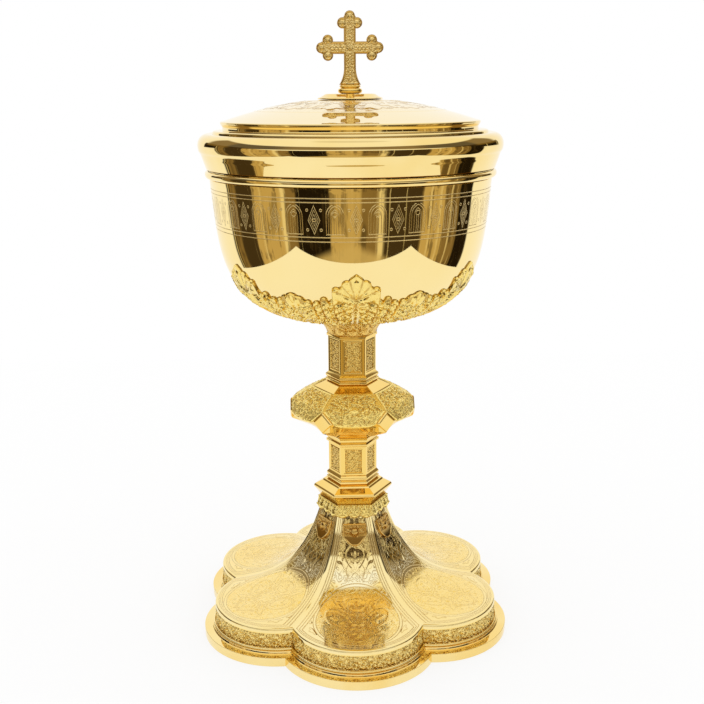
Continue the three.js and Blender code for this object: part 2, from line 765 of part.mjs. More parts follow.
function buildFinial() {
  const seat = domeHeight(FINIAL_COLLAR_R);
  const collarTop = DOME_TOP + FINIAL_COLLAR_H - 1;
  const boreR = FINIAL_SCREW_R + GAP;
  const collar = [
    [FINIAL_COLLAR_R, seat + GAP],
    [FINIAL_COLLAR_R, seat + 0.8],
    [FINIAL_COLLAR_R - 2.2, collarTop - 1.1],
    [FINIAL_COLLAR_R - 2.9, collarTop - 0.4],
    [FINIAL_COLLAR_R - 3.6, collarTop],
    [boreR, collarTop],
    [boreR, DOME_TOP + GAP],
    [FINIAL_COLLAR_R / 2, domeHeight(FINIAL_COLLAR_R / 2) + GAP],
  ];
  place("finial_collar", turned(collar), POLISHED);

  const ballBottom = collarTop;
  const ball = [
    [BALL_R - 1.6, 0],
    [BALL_R - 0.3, 0.4],
    [BALL_R, 1.1],
    [BALL_R - 0.5, 1.8],
    [BALL_R, 2.5],
    [BALL_R - 0.3, 3.3],
    [BALL_R - 1.2, BALL_H],
  ].map(([r, z]) => [r, ballBottom + z]);
  place("finial_ball", turnedAroundBore(ball, boreR, 24), CAST);
  buildCross(ballBottom + BALL_H);

  const crown = DOME_TOP - SHEET;
  const nutTop = crown - GAP;
  const nut = [[FINIAL_NUT_R, nutTop - FINIAL_NUT_H], [FINIAL_NUT_R, nutTop]];
  place("finial_nut", turnedAroundBore(nut, boreR), STEEL);
  const low = nutTop - FINIAL_NUT_H - 2;
  const high = ballBottom + BALL_H;
  const screw = [[0, low], [FINIAL_SCREW_R, low], [FINIAL_SCREW_R, high], [0, high]];
  place("finial_screw", turned(screw, SCREW_SIDES), STEEL);
}

// A flat cross whose arms end in three lobes, on a flared foot.
function buildCross(bottom) {
  const top = bottom + CROSS_H;
  const reach = CROSS_SPAN / 2;
  const armZ = top - reach - 0.8;
  const half = CROSS_BAR / 2;
  const post = top - CROSS_LOBE_R - bottom;
  const pieces = [
    new THREE.BoxGeometry(CROSS_BAR, CROSS_T, post).translate(0, 0, bottom + post / 2),
    new THREE.BoxGeometry(CROSS_SPAN - 2 * CROSS_LOBE_R, CROSS_T, CROSS_BAR).translate(0, 0, armZ),
  ];
  const lobe = (x, z) =>
    pieces.push(new THREE.CylinderGeometry(CROSS_LOBE_R, CROSS_LOBE_R, CROSS_T, 12).translate(x, 0, z));
  const tip = reach - CROSS_LOBE_R;
  const back = tip - 0.6 * CROSS_LOBE_R - 1.5;
  for (const side of [-1, 1]) {
    lobe(side * tip, armZ);
    lobe(side * back, armZ + half + 0.6);
    lobe(side * back, armZ - half - 0.6);
    lobe(side * (half + 0.6), top - CROSS_LOBE_R - 0.6 * CROSS_LOBE_R - 1.5);
  }
  lobe(0, top - CROSS_LOBE_R);
  const flare = new THREE.Shape();
  flare.moveTo(-CROSS_FOOT_W / 2, 0);
  flare.lineTo(CROSS_FOOT_W / 2, 0);
  flare.quadraticCurveTo(half + 0.2, CROSS_FOOT_H / 3, half, CROSS_FOOT_H);
  flare.lineTo(-half, CROSS_FOOT_H);
  flare.quadraticCurveTo(-half - 0.2, CROSS_FOOT_H / 3, -CROSS_FOOT_W / 2, 0);
  const foot = new THREE.ExtrudeGeometry(flare, {
    depth: CROSS_T,
    bevelEnabled: false,
    curveSegments: 5,
  });
  foot.rotateX(Math.PI / 2).translate(0, CROSS_T / 2, bottom);
  place("cross", joined(...pieces, foot), CAST);
}

buildFlange();
buildFootBead();
buildGallery();
buildFootShell();
buildFootCollar();
buildShields();
buildTieRod();
buildStemPlate();
buildRing("lower_stem_base", LOWER_BASE_BOTTOM, RING_R - 0.6, LOWER_STEM_R);
buildStemTube("lower_stem", LOWER_STEM_BOTTOM, LOWER_STEM_R, LOWER_STEM_H);
buildRing("lower_stem_cap", LOWER_CAP_BOTTOM, LOWER_STEM_R, KNOP_TOP_R - 0.4);
buildKnop();
buildRing("upper_stem_base", UPPER_BASE_BOTTOM, KNOP_NECK_R, UPPER_STEM_R);
buildStemTube("upper_stem", UPPER_STEM_BOTTOM, UPPER_STEM_R, UPPER_STEM_H);
buildCapital();
buildSocket();
buildCalyx();
buildCup();
buildBezel();
buildLid();
buildLidBead();
buildFinial();

export default object;
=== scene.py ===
"""A gilt ciborium on a white table: the pieces that show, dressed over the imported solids.

Lengths are in millimetres until a mesh is made. The front of the object faces -Y.
"""

import math

import bpy
import numpy as np
from mathutils import Matrix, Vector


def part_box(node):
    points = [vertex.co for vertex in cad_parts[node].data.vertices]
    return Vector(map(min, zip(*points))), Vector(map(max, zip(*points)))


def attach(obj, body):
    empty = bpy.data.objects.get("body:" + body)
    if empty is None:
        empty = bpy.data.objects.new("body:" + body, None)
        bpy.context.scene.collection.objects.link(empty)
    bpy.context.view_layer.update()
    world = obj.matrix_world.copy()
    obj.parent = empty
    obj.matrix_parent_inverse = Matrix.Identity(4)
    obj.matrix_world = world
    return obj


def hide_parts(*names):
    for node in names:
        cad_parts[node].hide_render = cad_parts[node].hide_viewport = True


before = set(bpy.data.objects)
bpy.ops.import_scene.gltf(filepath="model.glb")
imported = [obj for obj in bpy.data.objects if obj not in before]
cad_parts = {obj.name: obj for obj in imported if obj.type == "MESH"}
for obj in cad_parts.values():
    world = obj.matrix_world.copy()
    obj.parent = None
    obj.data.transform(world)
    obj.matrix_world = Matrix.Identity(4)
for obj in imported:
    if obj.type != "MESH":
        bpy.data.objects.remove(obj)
bpy.context.scene.view_settings.view_transform = "Standard"
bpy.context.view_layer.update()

MM = 0.001
SIDES = 6
CORNER = math.pi / SIDES
FLAT = math.cos(CORNER)
TAU = 2 * math.pi
FRONT = -math.pi / 2


def levels(node):
    """The lowest and highest level of a solid."""
    low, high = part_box(node)
    return low[2] / MM, high[2] / MM


# Shader values


class Value:
    """A socket of a material, with arithmetic that adds Math nodes."""

    def __init__(self, shop, socket):
        self.shop = shop
        self.socket = socket

    def maths(self, operation, *others):
        values = {0: self, **dict(enumerate(others, 1))}
        return self.shop.node("ShaderNodeMath", {"operation": operation}, values)

    def __add__(self, other):
        return self.maths("ADD", other)

    def __sub__(self, other):
        return self.maths("SUBTRACT", other)

    def __rsub__(self, other):
        return self.shop.node("ShaderNodeMath", {"operation": "SUBTRACT"}, {0: other, 1: self})

    def __mul__(self, other):
        return self.maths("MULTIPLY", other)

    def __truediv__(self, other):
        return self.maths("DIVIDE", other)

    def __pow__(self, other):
        return self.maths("POWER", other)

    def __abs__(self):
        return self.maths("ABSOLUTE")

    def __mod__(self, other):
        return self.maths("FLOORED_MODULO", other)

    __radd__ = __add__
    __rmul__ = __mul__

    def sqrt(self):
        return self.maths("SQRT")

    def sin(self):
        return self.maths("SINE")

    def atan2(self, other):
        return self.maths("ARCTAN2", other)

    def most(self, other):
        return self.maths("MAXIMUM", other)

    def over(self, level):
        return self.maths("GREATER_THAN", level)

    def rise(self, low, high):
        """0 below low, 1 above high, and a soft step between them."""
        values = {"Value": self, "From Min": low, "From Max": high}
        return self.shop.node("ShaderNodeMapRange", {"interpolation_type": "SMOOTHSTEP"}, values)


class Shop:
    """Makes the nodes of one material or world."""

    def __init__(self, owner):
        owner.use_nodes = True
        self.tree = owner.node_tree
        self.tree.nodes.clear()

    def node(self, kind, settings=None, values=None, out=0):
        made = self.tree.nodes.new(kind)
        for name, value in (settings or {}).items():
            if name == "stops":
                self.set_stops(made.color_ramp, value)
            else:
                setattr(made, name, value)
        for key, value in (values or {}).items():
            if isinstance(value, Value):
                self.tree.links.new(value.socket, made.inputs[key])
            else:
                made.inputs[key].default_value = value
        if out is None:
            return made
        return Value(self, made.outputs[out])

    @staticmethod
    def set_stops(ramp, stops):
        while len(ramp.elements) < len(stops):
            ramp.elements.new(1)
        for element, (place, colour) in zip(ramp.elements, stops):
            element.position = place
            element.color = (*colour, 1)

    def mixed(self, factor, low, high):
        """A colour between two others. A colour is three numbers or a socket."""
        settings = {"data_type": "RGBA", "clamp_factor": True}
        ends = [end if isinstance(end, Value) else (*end, 1) for end in (low, high)]
        return self.node("ShaderNodeMix", settings, {0: factor, 6: ends[0], 7: ends[1]}, out=2)

    def place(self):
        """Where a point is on its body, in metres."""
        return self.node("ShaderNodeTexCoord", out="Object")

    def noise(self, place, scale, detail=3):
        values = {"Vector": place, "Scale": scale, "Detail": detail, "Roughness": 0.55}
        return self.node("ShaderNodeTexNoise", None, values)

    def cells(self, place, scale):
        return self.node("ShaderNodeTexVoronoi", None, {"Vector": place, "Scale": scale})

    def polish(self, place, waves):
        """What all mirror gilding has: a warm bloom, hairline wiping marks and soft waves."""
        bloom = self.noise(place, 22).rise(0.35, 0.7)
        return bloom, self.noise(place, 900, detail=2), self.noise(place, waves, detail=1)

    def curls(self, place, scale, count):
        """Thin lines that wind along the levels of a soft noise, as fine engraving does."""
        level = self.noise(place, scale, detail=1) * count
        return 1 - abs(level % 1.0 - 0.5).rise(0.06, 0.2)

    def attribute(self, name, out="Fac"):
        return self.node("ShaderNodeAttribute", {"attribute_name": name}, out=out)

    def parts(self, vector):
        split = self.node("ShaderNodeSeparateXYZ", None, {0: vector}, out=None)
        return [Value(self, socket) for socket in split.outputs]

    def bump(self, height, strength, distance):
        values = {"Height": height, "Strength": strength, "Distance": distance}
        return self.node("ShaderNodeBump", None, values)

    def metal(self, name, values):
        """Ends the material in one metal shader."""
        shader = self.node("ShaderNodeBsdfPrincipled", {"name": name}, {"Metallic": 1.0, **values})
        self.node("ShaderNodeOutputMaterial", None, {"Surface": shader}, out=None)


def new_material(name):
    """A new material, and the shop that makes its nodes."""
    material = bpy.data.materials.new(name)
    return material, Shop(material)


PALE_GOLD = (0.98, 0.79, 0.37)
WARM_GOLD = (0.96, 0.70, 0.24)
RICH_GOLD = (0.96, 0.66, 0.17)
BRIGHT_GOLD = (0.98, 0.76, 0.28)
DEEP_GOLD = (0.52, 0.29, 0.05)
# a near-black brown, painted on the foot's cone as the dark room's reflection
PAINTED_DARK_REFLECTION = (0.10, 0.05, 0.012)


def polished_gold(name, pale, warm):
    """Mirror gilding: faint planishing waves, hairline wiping marks and a warm bloom."""
    material, shop = new_material(name)
    place = shop.place()
    bloom, wiping, waves = shop.polish(place, 60)
    shop.metal(
        name,
        {
            "Base Color": shop.mixed(bloom, pale, warm),
            "Roughness": wiping * 0.05 + bloom * 0.02 + 0.02,
            "Normal": shop.bump(waves, 0.12, 0.0006),
        },
    )
    return material


def relief_gold(name, grain, bright, grit=0.5, satin=0.14, mirror=1.0):
    """Cast gilding: granulated, with painted shade that browns it between the grains and in the creases. A
    relief over 1.5 marks a smooth frame, and over 2.5 a painted dark shadow line along an edge."""
    material, shop = new_material(name)
    place = shop.place()
    height = shop.attribute("relief")
    field = 1 - height.rise(1.4, 1.6)
    mottle = shop.noise(place, 420, detail=4)
    grains = shop.cells(place, grain)
    # painted shade: the gold browns where the relief is low and between the grains, where shade would fall
    crease = 1 - (height + mottle * 0.5 - 0.25).rise(0.0, 0.3)
    painted_shade_and_matt = (crease * 0.7).most(grains.rise(0.42, 0.8) * grit) * field
    # painted shade: a relief over 2.5 draws a dark shadow line along an edge
    painted_shade_and_matt = painted_shade_and_matt.most(height.rise(2.4, 2.6) * 0.75)
    shop.metal(
        name,
        {
            "Base Color": shop.mixed(painted_shade_and_matt, bright, DEEP_GOLD),
            "Metallic": mirror,
            "Roughness": painted_shade_and_matt * 0.2 + mottle * 0.06 + field * satin + 0.05,
            "Normal": shop.bump((1 - grains) * field * grit * 1.8, 0.6, 0.0004),
        },
    )
    return material


def turned_steel():
    """The hidden screws and nuts: plain steel with turning marks."""
    material, shop = new_material("turned_steel")
    place = shop.place()
    _, _, height = shop.parts(place)
    marks = (height * 9000).sin() * 0.5 + shop.noise(place, 700)
    shop.metal(
        "steel",
        {
            "Base Color": shop.mixed(marks, (0.42, 0.42, 0.43), (0.66, 0.66, 0.67)),
            "Roughness": marks * 0.12 + 0.28,
            "Normal": shop.bump(marks, 0.3, 0.0002),
        },
    )
    return material


def engraved_gold():
    """The foot's shell: mirror gilding with matted leaves and fine bright-cut lines, which show
    pale where the gilding reflects the dark, with dark patches of painted reflection on the
    cone's ground and a band of painted highlight just above the ring."""
    material, shop = new_material("engraved_gold")
    place = shop.place()
    height = shop.attribute("relief")
    edge = shop.attribute("edge")
    ring = shop.attribute("ring")
    across, up, _ = shop.parts(shop.attribute("chart", out="Vector"))

    def cut(distance, half):
        return 1 - abs(distance).rise(half * 0.5, half)

    field = (edge - 2.8).rise(0, 0.3)
    lines = cut(edge - 0.9, 0.16).most(cut(edge - 1.7, 0.16)).most(cut(edge - 2.6, 0.22))
    lines = lines.most(cut(ring, 0.2).most(cut(ring + 1.3, 0.17)) * field)
    loops = abs((up * 0.21 - 0.1).sin()) * 4.6
    crossing = cut(across - loops, 0.2) * up.rise(50, 50.5) * (1 - up.rise(62, 63)) * field
    lines = lines.most(crossing)
    inside = (1 - (ring + 1.6).rise(0, 0.3)) * field
    cone = up.rise(57, 60) * field
    spandrel = (ring - 0.6).rise(0, 0.3) * up.rise(30, 36) * (1 - up.rise(50, 56)) * field
    curls = shop.curls(place, 210, 9) * cone.most(spandrel)
    hatching = shop.curls(place, 250, 9) * inside
    outline = cut(height - 0.3, 0.28) * field
    leaf = height.rise(0.15, 0.35) * field
    ground = 1 - height.rise(0.1, 0.3)
    blots = shop.noise(place, 110, detail=2)
    # painted reflection: dark patches on the cone's ground stand in for the dark room mirrored in it
    patches = blots.rise(0.5, 0.53) * ground * up.rise(58, 61) * field
    mottle = shop.noise(place, 260, detail=4)
    bloom = shop.noise(place, 30).rise(0.35, 0.7)
    gold = shop.mixed(bloom, (0.98, 0.82, 0.42), (0.97, 0.77, 0.33))
    gold = shop.mixed(cone.most(spandrel) * 0.7, gold, (0.97, 0.75, 0.26))
    # painted highlight: a pale band low on the cone, where the gilding catches a bright reflection
    painted_highlight = up.rise(42, 47) * (1 - up.rise(49, 56)) * field
    gold = shop.mixed(painted_highlight * 0.8, gold, (0.99, 0.92, 0.64))
    cut_gold = shop.mixed((inside * 0.2).most(hatching * 0.66), gold, (0.97, 0.63, 0.07))
    cut_gold = shop.mixed((curls * 0.3).most(outline * (0.42 - inside * 0.12)), cut_gold, DEEP_GOLD)
    ground_gold = shop.mixed(patches * 0.85, cut_gold, PAINTED_DARK_REFLECTION)
    level = (1 - lines) - curls * 0.5 - hatching * 0.15
    matt = (leaf * cone * 0.22).most(curls * 0.3).most(lines * 0.42)
    shop.metal(
        "engraved",
        {
            "Base Color": shop.mixed(lines * 0.85, ground_gold, (0.86, 0.64, 0.27)),
            "Metallic": 1 - inside * 0.06 - hatching * 0.12,
            "Roughness": matt + inside * 0.07 + hatching * 0.06 + mottle * 0.04 + 0.03,
            "Normal": shop.bump(level, 0.6, 0.0003),
        },
    )
    return material


# Relief drawn on a flat patch

GRAIN_SEED = 5


def ramp(value, width):
    """0 below 0, 1 above the width, and a straight slope between them."""
    return np.clip(value / width, 0, 1)


def around(r, turn, z):
    """Points at a distance, a turn and a height on the axis."""
    return np.stack(np.broadcast_arrays(r * np.cos(turn), r * np.sin(turn), z), axis=-1)


class Relief:
    """Heights over a flat patch: x across from its middle, y up from its foot."""

    def __init__(self, half_width, top, step=0.12):
        self.step = step
        self.half_width = half_width
        x = np.arange(-half_width, half_width + step, step)
        y = np.arange(0, top + step, step)
        self.x, self.y = np.meshgrid(x, y)
        self.lift = np.zeros(self.x.shape)

    def window(self, low_x, low_y, high_x, high_y):
        i0 = max(int(low_y / self.step) - 1, 0)
        i1 = max(int(high_y / self.step) + 2, 0)
        j0 = max(int((low_x + self.half_width) / self.step) - 1, 0)
        j1 = max(int((high_x + self.half_width) / self.step) + 2, 0)
        return slice(i0, i1), slice(j0, j1)

    def put(self, window, height):
        part = self.lift[window]
        if part.size:
            np.maximum(part, height, out=part)

    def rod(self, start, end, halves, height, vein=0.0):
        """A round-backed ridge between two points, with a half width at each."""
        (ax, ay), (bx, by) = start, end
        reach = max(halves)
        window = self.window(
            min(ax, bx) - reach, min(ay, by) - reach, max(ax, bx) + reach, max(ay, by) + reach
        )
        x, y = self.x[window], self.y[window]
        length = (bx - ax) ** 2 + (by - ay) ** 2 + 1e-9
        t = np.clip(((x - ax) * (bx - ax) + (y - ay) * (by - ay)) / length, 0, 1)
        away = np.hypot(x - ax - t * (bx - ax), y - ay - t * (by - ay))
        half = halves[0] + (halves[1] - halves[0]) * t
        back = np.sqrt(np.clip(1 - (away / half) ** 2, 0, 1))
        groove = vein * np.exp(-((away / 0.22) ** 2))
        self.put(window, height * back - groove * (back > 0))

    def line(self, points, halves, height, both=True):
        """A ridge along a line of points, as wide as the first half width at its start and the
        second at its end, drawn again on the other side of the middle."""
        points = np.asarray(points, dtype=float)
        wide = np.linspace(halves[0], halves[1], len(points))
        for side in (1, -1) if both else (1,):
            for i in range(len(points) - 1):
                start = (side * points[i][0], points[i][1])
                end = (side * points[i + 1][0], points[i + 1][1])
                self.rod(start, end, (wide[i], wide[i + 1]), height)

    def leaf(self, base, angle, length, half, height, both=True, vein=0.25):
        """A pointed leaf with a vein. The angle is from straight up, towards +x."""
        steps = np.linspace(0, 1, 9)
        spread = np.sin(np.pi * steps**0.8) ** 0.8 * half + 0.06
        for side in (1, -1) if both else (1,):
            way = np.array([side * math.sin(angle), math.cos(angle)])
            foot = np.array([side * base[0], base[1]])
            for i in range(8):
                start = foot + way * length * steps[i]
                end = foot + way * length * steps[i + 1]
                self.rod(start, end, (spread[i], spread[i + 1]), height, vein)

    def boss(self, x, y, radius, height, both=True):
        for side in (1, -1) if both and x else (1,):
            window = self.window(side * x - radius, y - radius, side * x + radius, y + radius)
            away = np.hypot(self.x[window] - side * x, self.y[window] - y)
            self.put(window, height * np.sqrt(np.clip(1 - (away / radius) ** 2, 0, 1)))

    def hoop(self, x, y, radius, half, height, both=True):
        reach = radius + half
        for side in (1, -1) if both and x else (1,):
            window = self.window(side * x - reach, y - reach, side * x + reach, y + reach)
            away = np.abs(np.hypot(self.x[window] - side * x, self.y[window] - y) - radius)
            self.put(window, height * np.sqrt(np.clip(1 - (away / half) ** 2, 0, 1)))

    def trefoil(self, base, angle, size, height, both=True):
        """Three leaves from one point, the middle one longer."""
        for turn, length in ((-1.0, 0.72), (1.0, 0.72), (0, 1.0)):
            self.leaf(base, angle + turn, size * length, size * 0.24, height, both)

    def rosette(self, x, y, size, height, petals=6, both=True):
        for i in range(petals):
            self.leaf((x, y), i * TAU / petals, size, size * 0.3, height, both and x != 0)
        self.boss(x, y, size * 0.28, height * 1.3, both)

    def volute(self, x, y, radius, start, turns, hand, half, height, both=True):
        """A scroll that winds inwards to a berry, with leaves on its outside."""
        t = np.linspace(0, 1, int(18 * turns) + 2)
        angle = start + hand * TAU * turns * t
        r = radius * (1 - 0.78 * t)
        points = np.stack([x + r * np.sin(angle), y + r * np.cos(angle)], axis=1)
        self.line(points, (half, half * 0.6), height, both)
        self.boss(x, y, radius * 0.3, height * 1.2, both)
        for share in (0.12, 0.3, 0.5):
            i = int(share * len(t))
            self.leaf(points[i], angle[i] + hand * 0.6, radius * 0.55, radius * 0.16, height, both)

    def strew(self, pitch, radius, height, wrap=0.0):
        """Small uneven grains over the whole patch. Those near its sides are drawn again at the
        other side of a patch that repeats."""
        chance = np.random.default_rng(GRAIN_SEED)
        half = wrap / 2 or self.half_width
        for y in np.arange(0, self.y[-1, 0], pitch):
            for x in np.arange(-half, half, pitch):
                dx, dy, size, up = chance.uniform(0, 1, 4)
                px, py = x + dx * pitch, y + dy * pitch
                r = radius * (0.7 + 0.5 * size)
                for turn in (0, wrap, -wrap) if wrap else (0,):
                    self.boss(px + turn, py, r, height * (0.6 + 0.4 * up), both=False)

    def at(self, x, y):
        """The height at any points of the patch."""
        rows, columns = self.lift.shape
        j = np.clip((x + self.half_width) / self.step, 0, columns - 1.001)
        i = np.clip(y / self.step, 0, rows - 1.001)
        i0, j0 = i.astype(int), j.astype(int)
        fi, fj = i - i0, j - j0
        low = self.lift[i0, j0] * (1 - fj) + self.lift[i0, j0 + 1] * fj
        high = self.lift[i0 + 1, j0] * (1 - fj) + self.lift[i0 + 1, j0 + 1] * fj
        return low * (1 - fi) + high * fi


# Meshes


def new_mesh(name, points, faces, marks, sharp):
    """A smooth-shaded mesh object. Faces are arrays of three or four point numbers."""
    mesh = bpy.data.meshes.new(name)
    points = np.asarray(points, dtype=np.float64).reshape(-1, 3)
    faces = [np.asarray(group, dtype=np.int64) for group in faces if len(group)]
    volume = 0.0
    for group in faces:
        for k in range(1, group.shape[1] - 1):
            a, b, c = points[group[:, 0]], points[group[:, k]], points[group[:, k + 1]]
            volume += float(np.sum(a * np.cross(b, c)))
    if volume < 0:
        faces = [group[:, ::-1] for group in faces]
    corners = np.concatenate([group.ravel() for group in faces])
    counts = np.concatenate([np.full(len(group), group.shape[1]) for group in faces])
    starts = np.concatenate([[0], np.cumsum(counts)[:-1]])
    mesh.vertices.add(len(points))
    mesh.vertices.foreach_set("co", (points * MM).astype(np.float32).ravel())
    mesh.loops.add(len(corners))
    mesh.loops.foreach_set("vertex_index", corners.astype(np.int32))
    mesh.polygons.add(len(counts))
    mesh.polygons.foreach_set("loop_start", starts.astype(np.int32))
    mesh.polygons.foreach_set("loop_total", counts.astype(np.int32))
    mesh.update(calc_edges=True)
    mesh.shade_smooth()
    mesh.set_sharp_from_angle(angle=math.radians(sharp))
    for title, values in (marks or {}).items():
        values = np.asarray(values, dtype=np.float32)
        kind, field = ("FLOAT_VECTOR", "vector") if values.shape[-1] == 3 else ("FLOAT", "value")
        mesh.attributes.new(title, kind, "POINT").data.foreach_set(field, values.ravel())
    made = bpy.data.objects.new(name, mesh)
    bpy.context.scene.collection.objects.link(made)
    return made


def ring_faces(rows, columns, wrap_rows):
    """Quads between neighbouring rings of a grid whose columns go all the way round."""
    i = np.arange(rows if wrap_rows else rows - 1)[:, None]
    j = np.arange(columns)[None, :]
    k, n = (j + 1) % columns, (i + 1) % rows
    quads = np.stack([i * columns + j, i * columns + k, n * columns + k, n * columns + j], axis=-1)
    return quads.reshape(-1, 4)


def hooped(name, rings, marks=None, sharp=35):
    """A ring-shaped body: rings in order, the last joined to the first."""
    rings = np.asarray(rings, dtype=float)
    faces = ring_faces(rings.shape[0], rings.shape[1], True)
    return new_mesh(name, rings, [faces], marks, sharp)


def capped(name, rings, start, end, marks, sharp):
    """A body of rings that closes to a point on the axis at both ends."""
    rings = np.asarray(rings, dtype=float)
    rows, columns = rings.shape[:2]
    points = np.concatenate([rings.reshape(-1, 3), [[0, 0, start], [0, 0, end]]])
    j = np.arange(columns)
    k = (j + 1) % columns
    first, last = rows * columns, rows * columns + 1
    fans = np.concatenate(
        [
            np.stack([np.full(columns, first), k, j], axis=-1),
            np.stack([np.full(columns, last), j + (rows - 1) * columns, k + (rows - 1) * columns], axis=-1),
        ]
    )
    marks = {title: end_marks(values) for title, values in marks.items()}
    return new_mesh(name, points, [ring_faces(rows, columns, False), fans], marks, sharp)


def end_marks(values):
    """The values of a capped body, with those of its two end points."""
    values = np.ravel(values)
    return np.concatenate([values, values[:1], values[-1:]])


def turned_rings(profile, columns):
    """A profile of radius and height turned round the axis."""
    profile = np.asarray(profile, dtype=float)
    return around(profile[:, :1], FRONT + np.arange(columns) * TAU / columns, profile[:, 1:])


def hex_rings(profile, soft=0.35, flat_points=1):
    """A profile, with its radius at the corners, carried round a hexagon with soft corners."""
    turns = np.radians(np.linspace(-30, 30, 5))
    rings = []
    for radius, height in profile:
        corner = min(soft, radius * 0.2)
        row = []
        for side in range(SIDES):
            middle = FRONT + side * 2 * CORNER
            start, end = middle - CORNER, middle + CORNER
            centre = (radius - corner / FLAT) * np.array([math.cos(start), math.sin(start)])
            arc = centre + corner * np.stack([np.cos(start + turns), np.sin(start + turns)], axis=-1)
            after = (radius - corner / FLAT) * np.array([math.cos(end), math.sin(end)])
            after = after + corner * np.array([math.cos(middle), math.sin(middle)])
            shares = (np.arange(flat_points) + 1)[:, None] / (flat_points + 1)
            row.append(np.concatenate([arc, arc[-1] + (after - arc[-1]) * shares]))
        row = np.concatenate(row)
        rings.append(np.concatenate([row, np.full((len(row), 1), height)], axis=1))
    return np.array(rings)


def eased(profile, radius, closed=False):
    """The profile with each corner rounded a little."""
    points = [np.array(p, dtype=float) for p in profile]
    made = [] if closed else [points[0]]
    span = range(len(points)) if closed else range(1, len(points) - 1)
    for i in span:
        before, here, after = points[i - 1], points[i], points[(i + 1) % len(points)]
        back, on = before - here, after - here
        reach = min(radius, np.linalg.norm(back) * 0.42, np.linalg.norm(on) * 0.42)
        start = here + back / np.linalg.norm(back) * reach
        end = here + on / np.linalg.norm(on) * reach
        for t in (0, 0.33, 0.67, 1):
            made.append((1 - t) ** 2 * start + 2 * t * (1 - t) * here + t**2 * end)
    if not closed:
        made.append(points[-1])
    return np.array(made)


def flowing(points, between=6):
    """A smooth curve through the points."""
    points = np.asarray(points, dtype=float)
    ends = np.concatenate([[2 * points[0] - points[1]], points, [2 * points[-1] - points[-2]]])
    made = [points[0]]
    for i in range(len(points) - 1):
        a, b, c, d = ends[i : i + 4]
        for t in np.linspace(0, 1, between + 1)[1:]:
            made.append(
                0.5
                * (2 * b + (c - a) * t + (2 * a - 5 * b + 4 * c - d) * t**2 + (3 * b - a - 3 * c + d) * t**3)
            )
    return np.array(made)


def moved_in(profile, distance):
    """The profile moved to the left of its direction of travel."""
    step = np.gradient(np.asarray(profile, dtype=float), axis=0)
    step /= np.linalg.norm(step, axis=1, keepdims=True)
    return profile + distance * np.stack([-step[:, 1], step[:, 0]], axis=1)


def outward(rings):
    """The normal at each point of a grid of rings, away from the axis."""
    along = np.gradient(rings, axis=0)
    around = np.roll(rings, -1, axis=1) - np.roll(rings, 1, axis=1)
    normal = np.cross(around, along)
    normal /= np.linalg.norm(normal, axis=-1, keepdims=True) + 1e-12
    radial = rings[..., :2] * normal[..., :2]
    if np.sum(radial) < 0:
        normal = -normal
    return normal


def backed(shade, rows):
    """The relief of a front, with none on the rings of points behind it."""
    return {"relief": np.concatenate([shade, np.zeros((rows, shade.shape[1]))])}


def dressed(piece, body, slot, material, *nodes):
    """Sets the finish of a piece and the solids that it stands for."""
    piece.data.materials.clear()
    piece.data.materials.append(material)
    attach(piece, body)
    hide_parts(*nodes)


def plate(name, distance, heights, place, half_width, low, high, step, double=False):
    """A plate of any outline, with relief on its face. distance(x, y) is below 0 inside the
    outline, heights(x, y) gives its face, its back and the shade of its relief, and place(x, y, h)
    puts a point of it in space, at h above its seat."""
    xs = np.arange(-half_width - step, half_width + 1.5 * step, step)
    ys = np.arange(low - step, high + 1.5 * step, step)
    x, y = np.meshgrid(xs, ys)
    rows, columns = x.shape
    middle = distance((x[:-1, :-1] + x[1:, 1:]) / 2, (y[:-1, :-1] + y[1:, 1:]) / 2)
    i, j = np.nonzero(middle < 0)
    here = i * columns + j
    cells = np.stack([here, here + 1, here + columns + 1, here + columns], axis=-1)
    edges = np.concatenate([cells[:, [k, (k + 1) % 4]] for k in range(4)])
    key = np.sort(edges, axis=1)
    _, first, counts = np.unique(key, axis=0, return_index=True, return_counts=True)
    rim = edges[first[counts == 1]]
    used = np.unique(cells)
    on_rim = np.unique(rim)
    flat_x, flat_y = x.ravel(), y.ravel()
    for _ in range(3):
        px, py = flat_x[on_rim], flat_y[on_rim]
        off = distance(px, py)
        gx = (distance(px + 0.01, py) - distance(px - 0.01, py)) / 0.02
        gy = (distance(px, py + 0.01) - distance(px, py - 0.01)) / 0.02
        size = np.maximum(gx**2 + gy**2, 0.25)
        flat_x[on_rim] -= off * gx / size
        flat_y[on_rim] -= off * gy / size
    number = np.full(rows * columns, -1)
    number[used] = np.arange(len(used))
    px, py = flat_x[used], flat_y[used]
    face, back, shade = heights(px, py)
    top = place(px, py, face)
    bottom = place(px, py, back)
    count = len(used)
    front = number[cells]
    walls = np.stack(
        [number[rim[:, 1]], number[rim[:, 0]], number[rim[:, 0]] + count, number[rim[:, 1]] + count], axis=-1
    )
    marks = {"relief": np.concatenate([shade, shade if double else np.zeros(count)])}
    points = np.concatenate([top, bottom])
    return new_mesh(name, points, [front, front[:, ::-1] + count, walls], marks, 40)


# Stage

POLISHED = polished_gold("polished_gold", PALE_GOLD, WARM_GOLD)
STEM_POLISH = polished_gold("stem_gold", WARM_GOLD, RICH_GOLD)

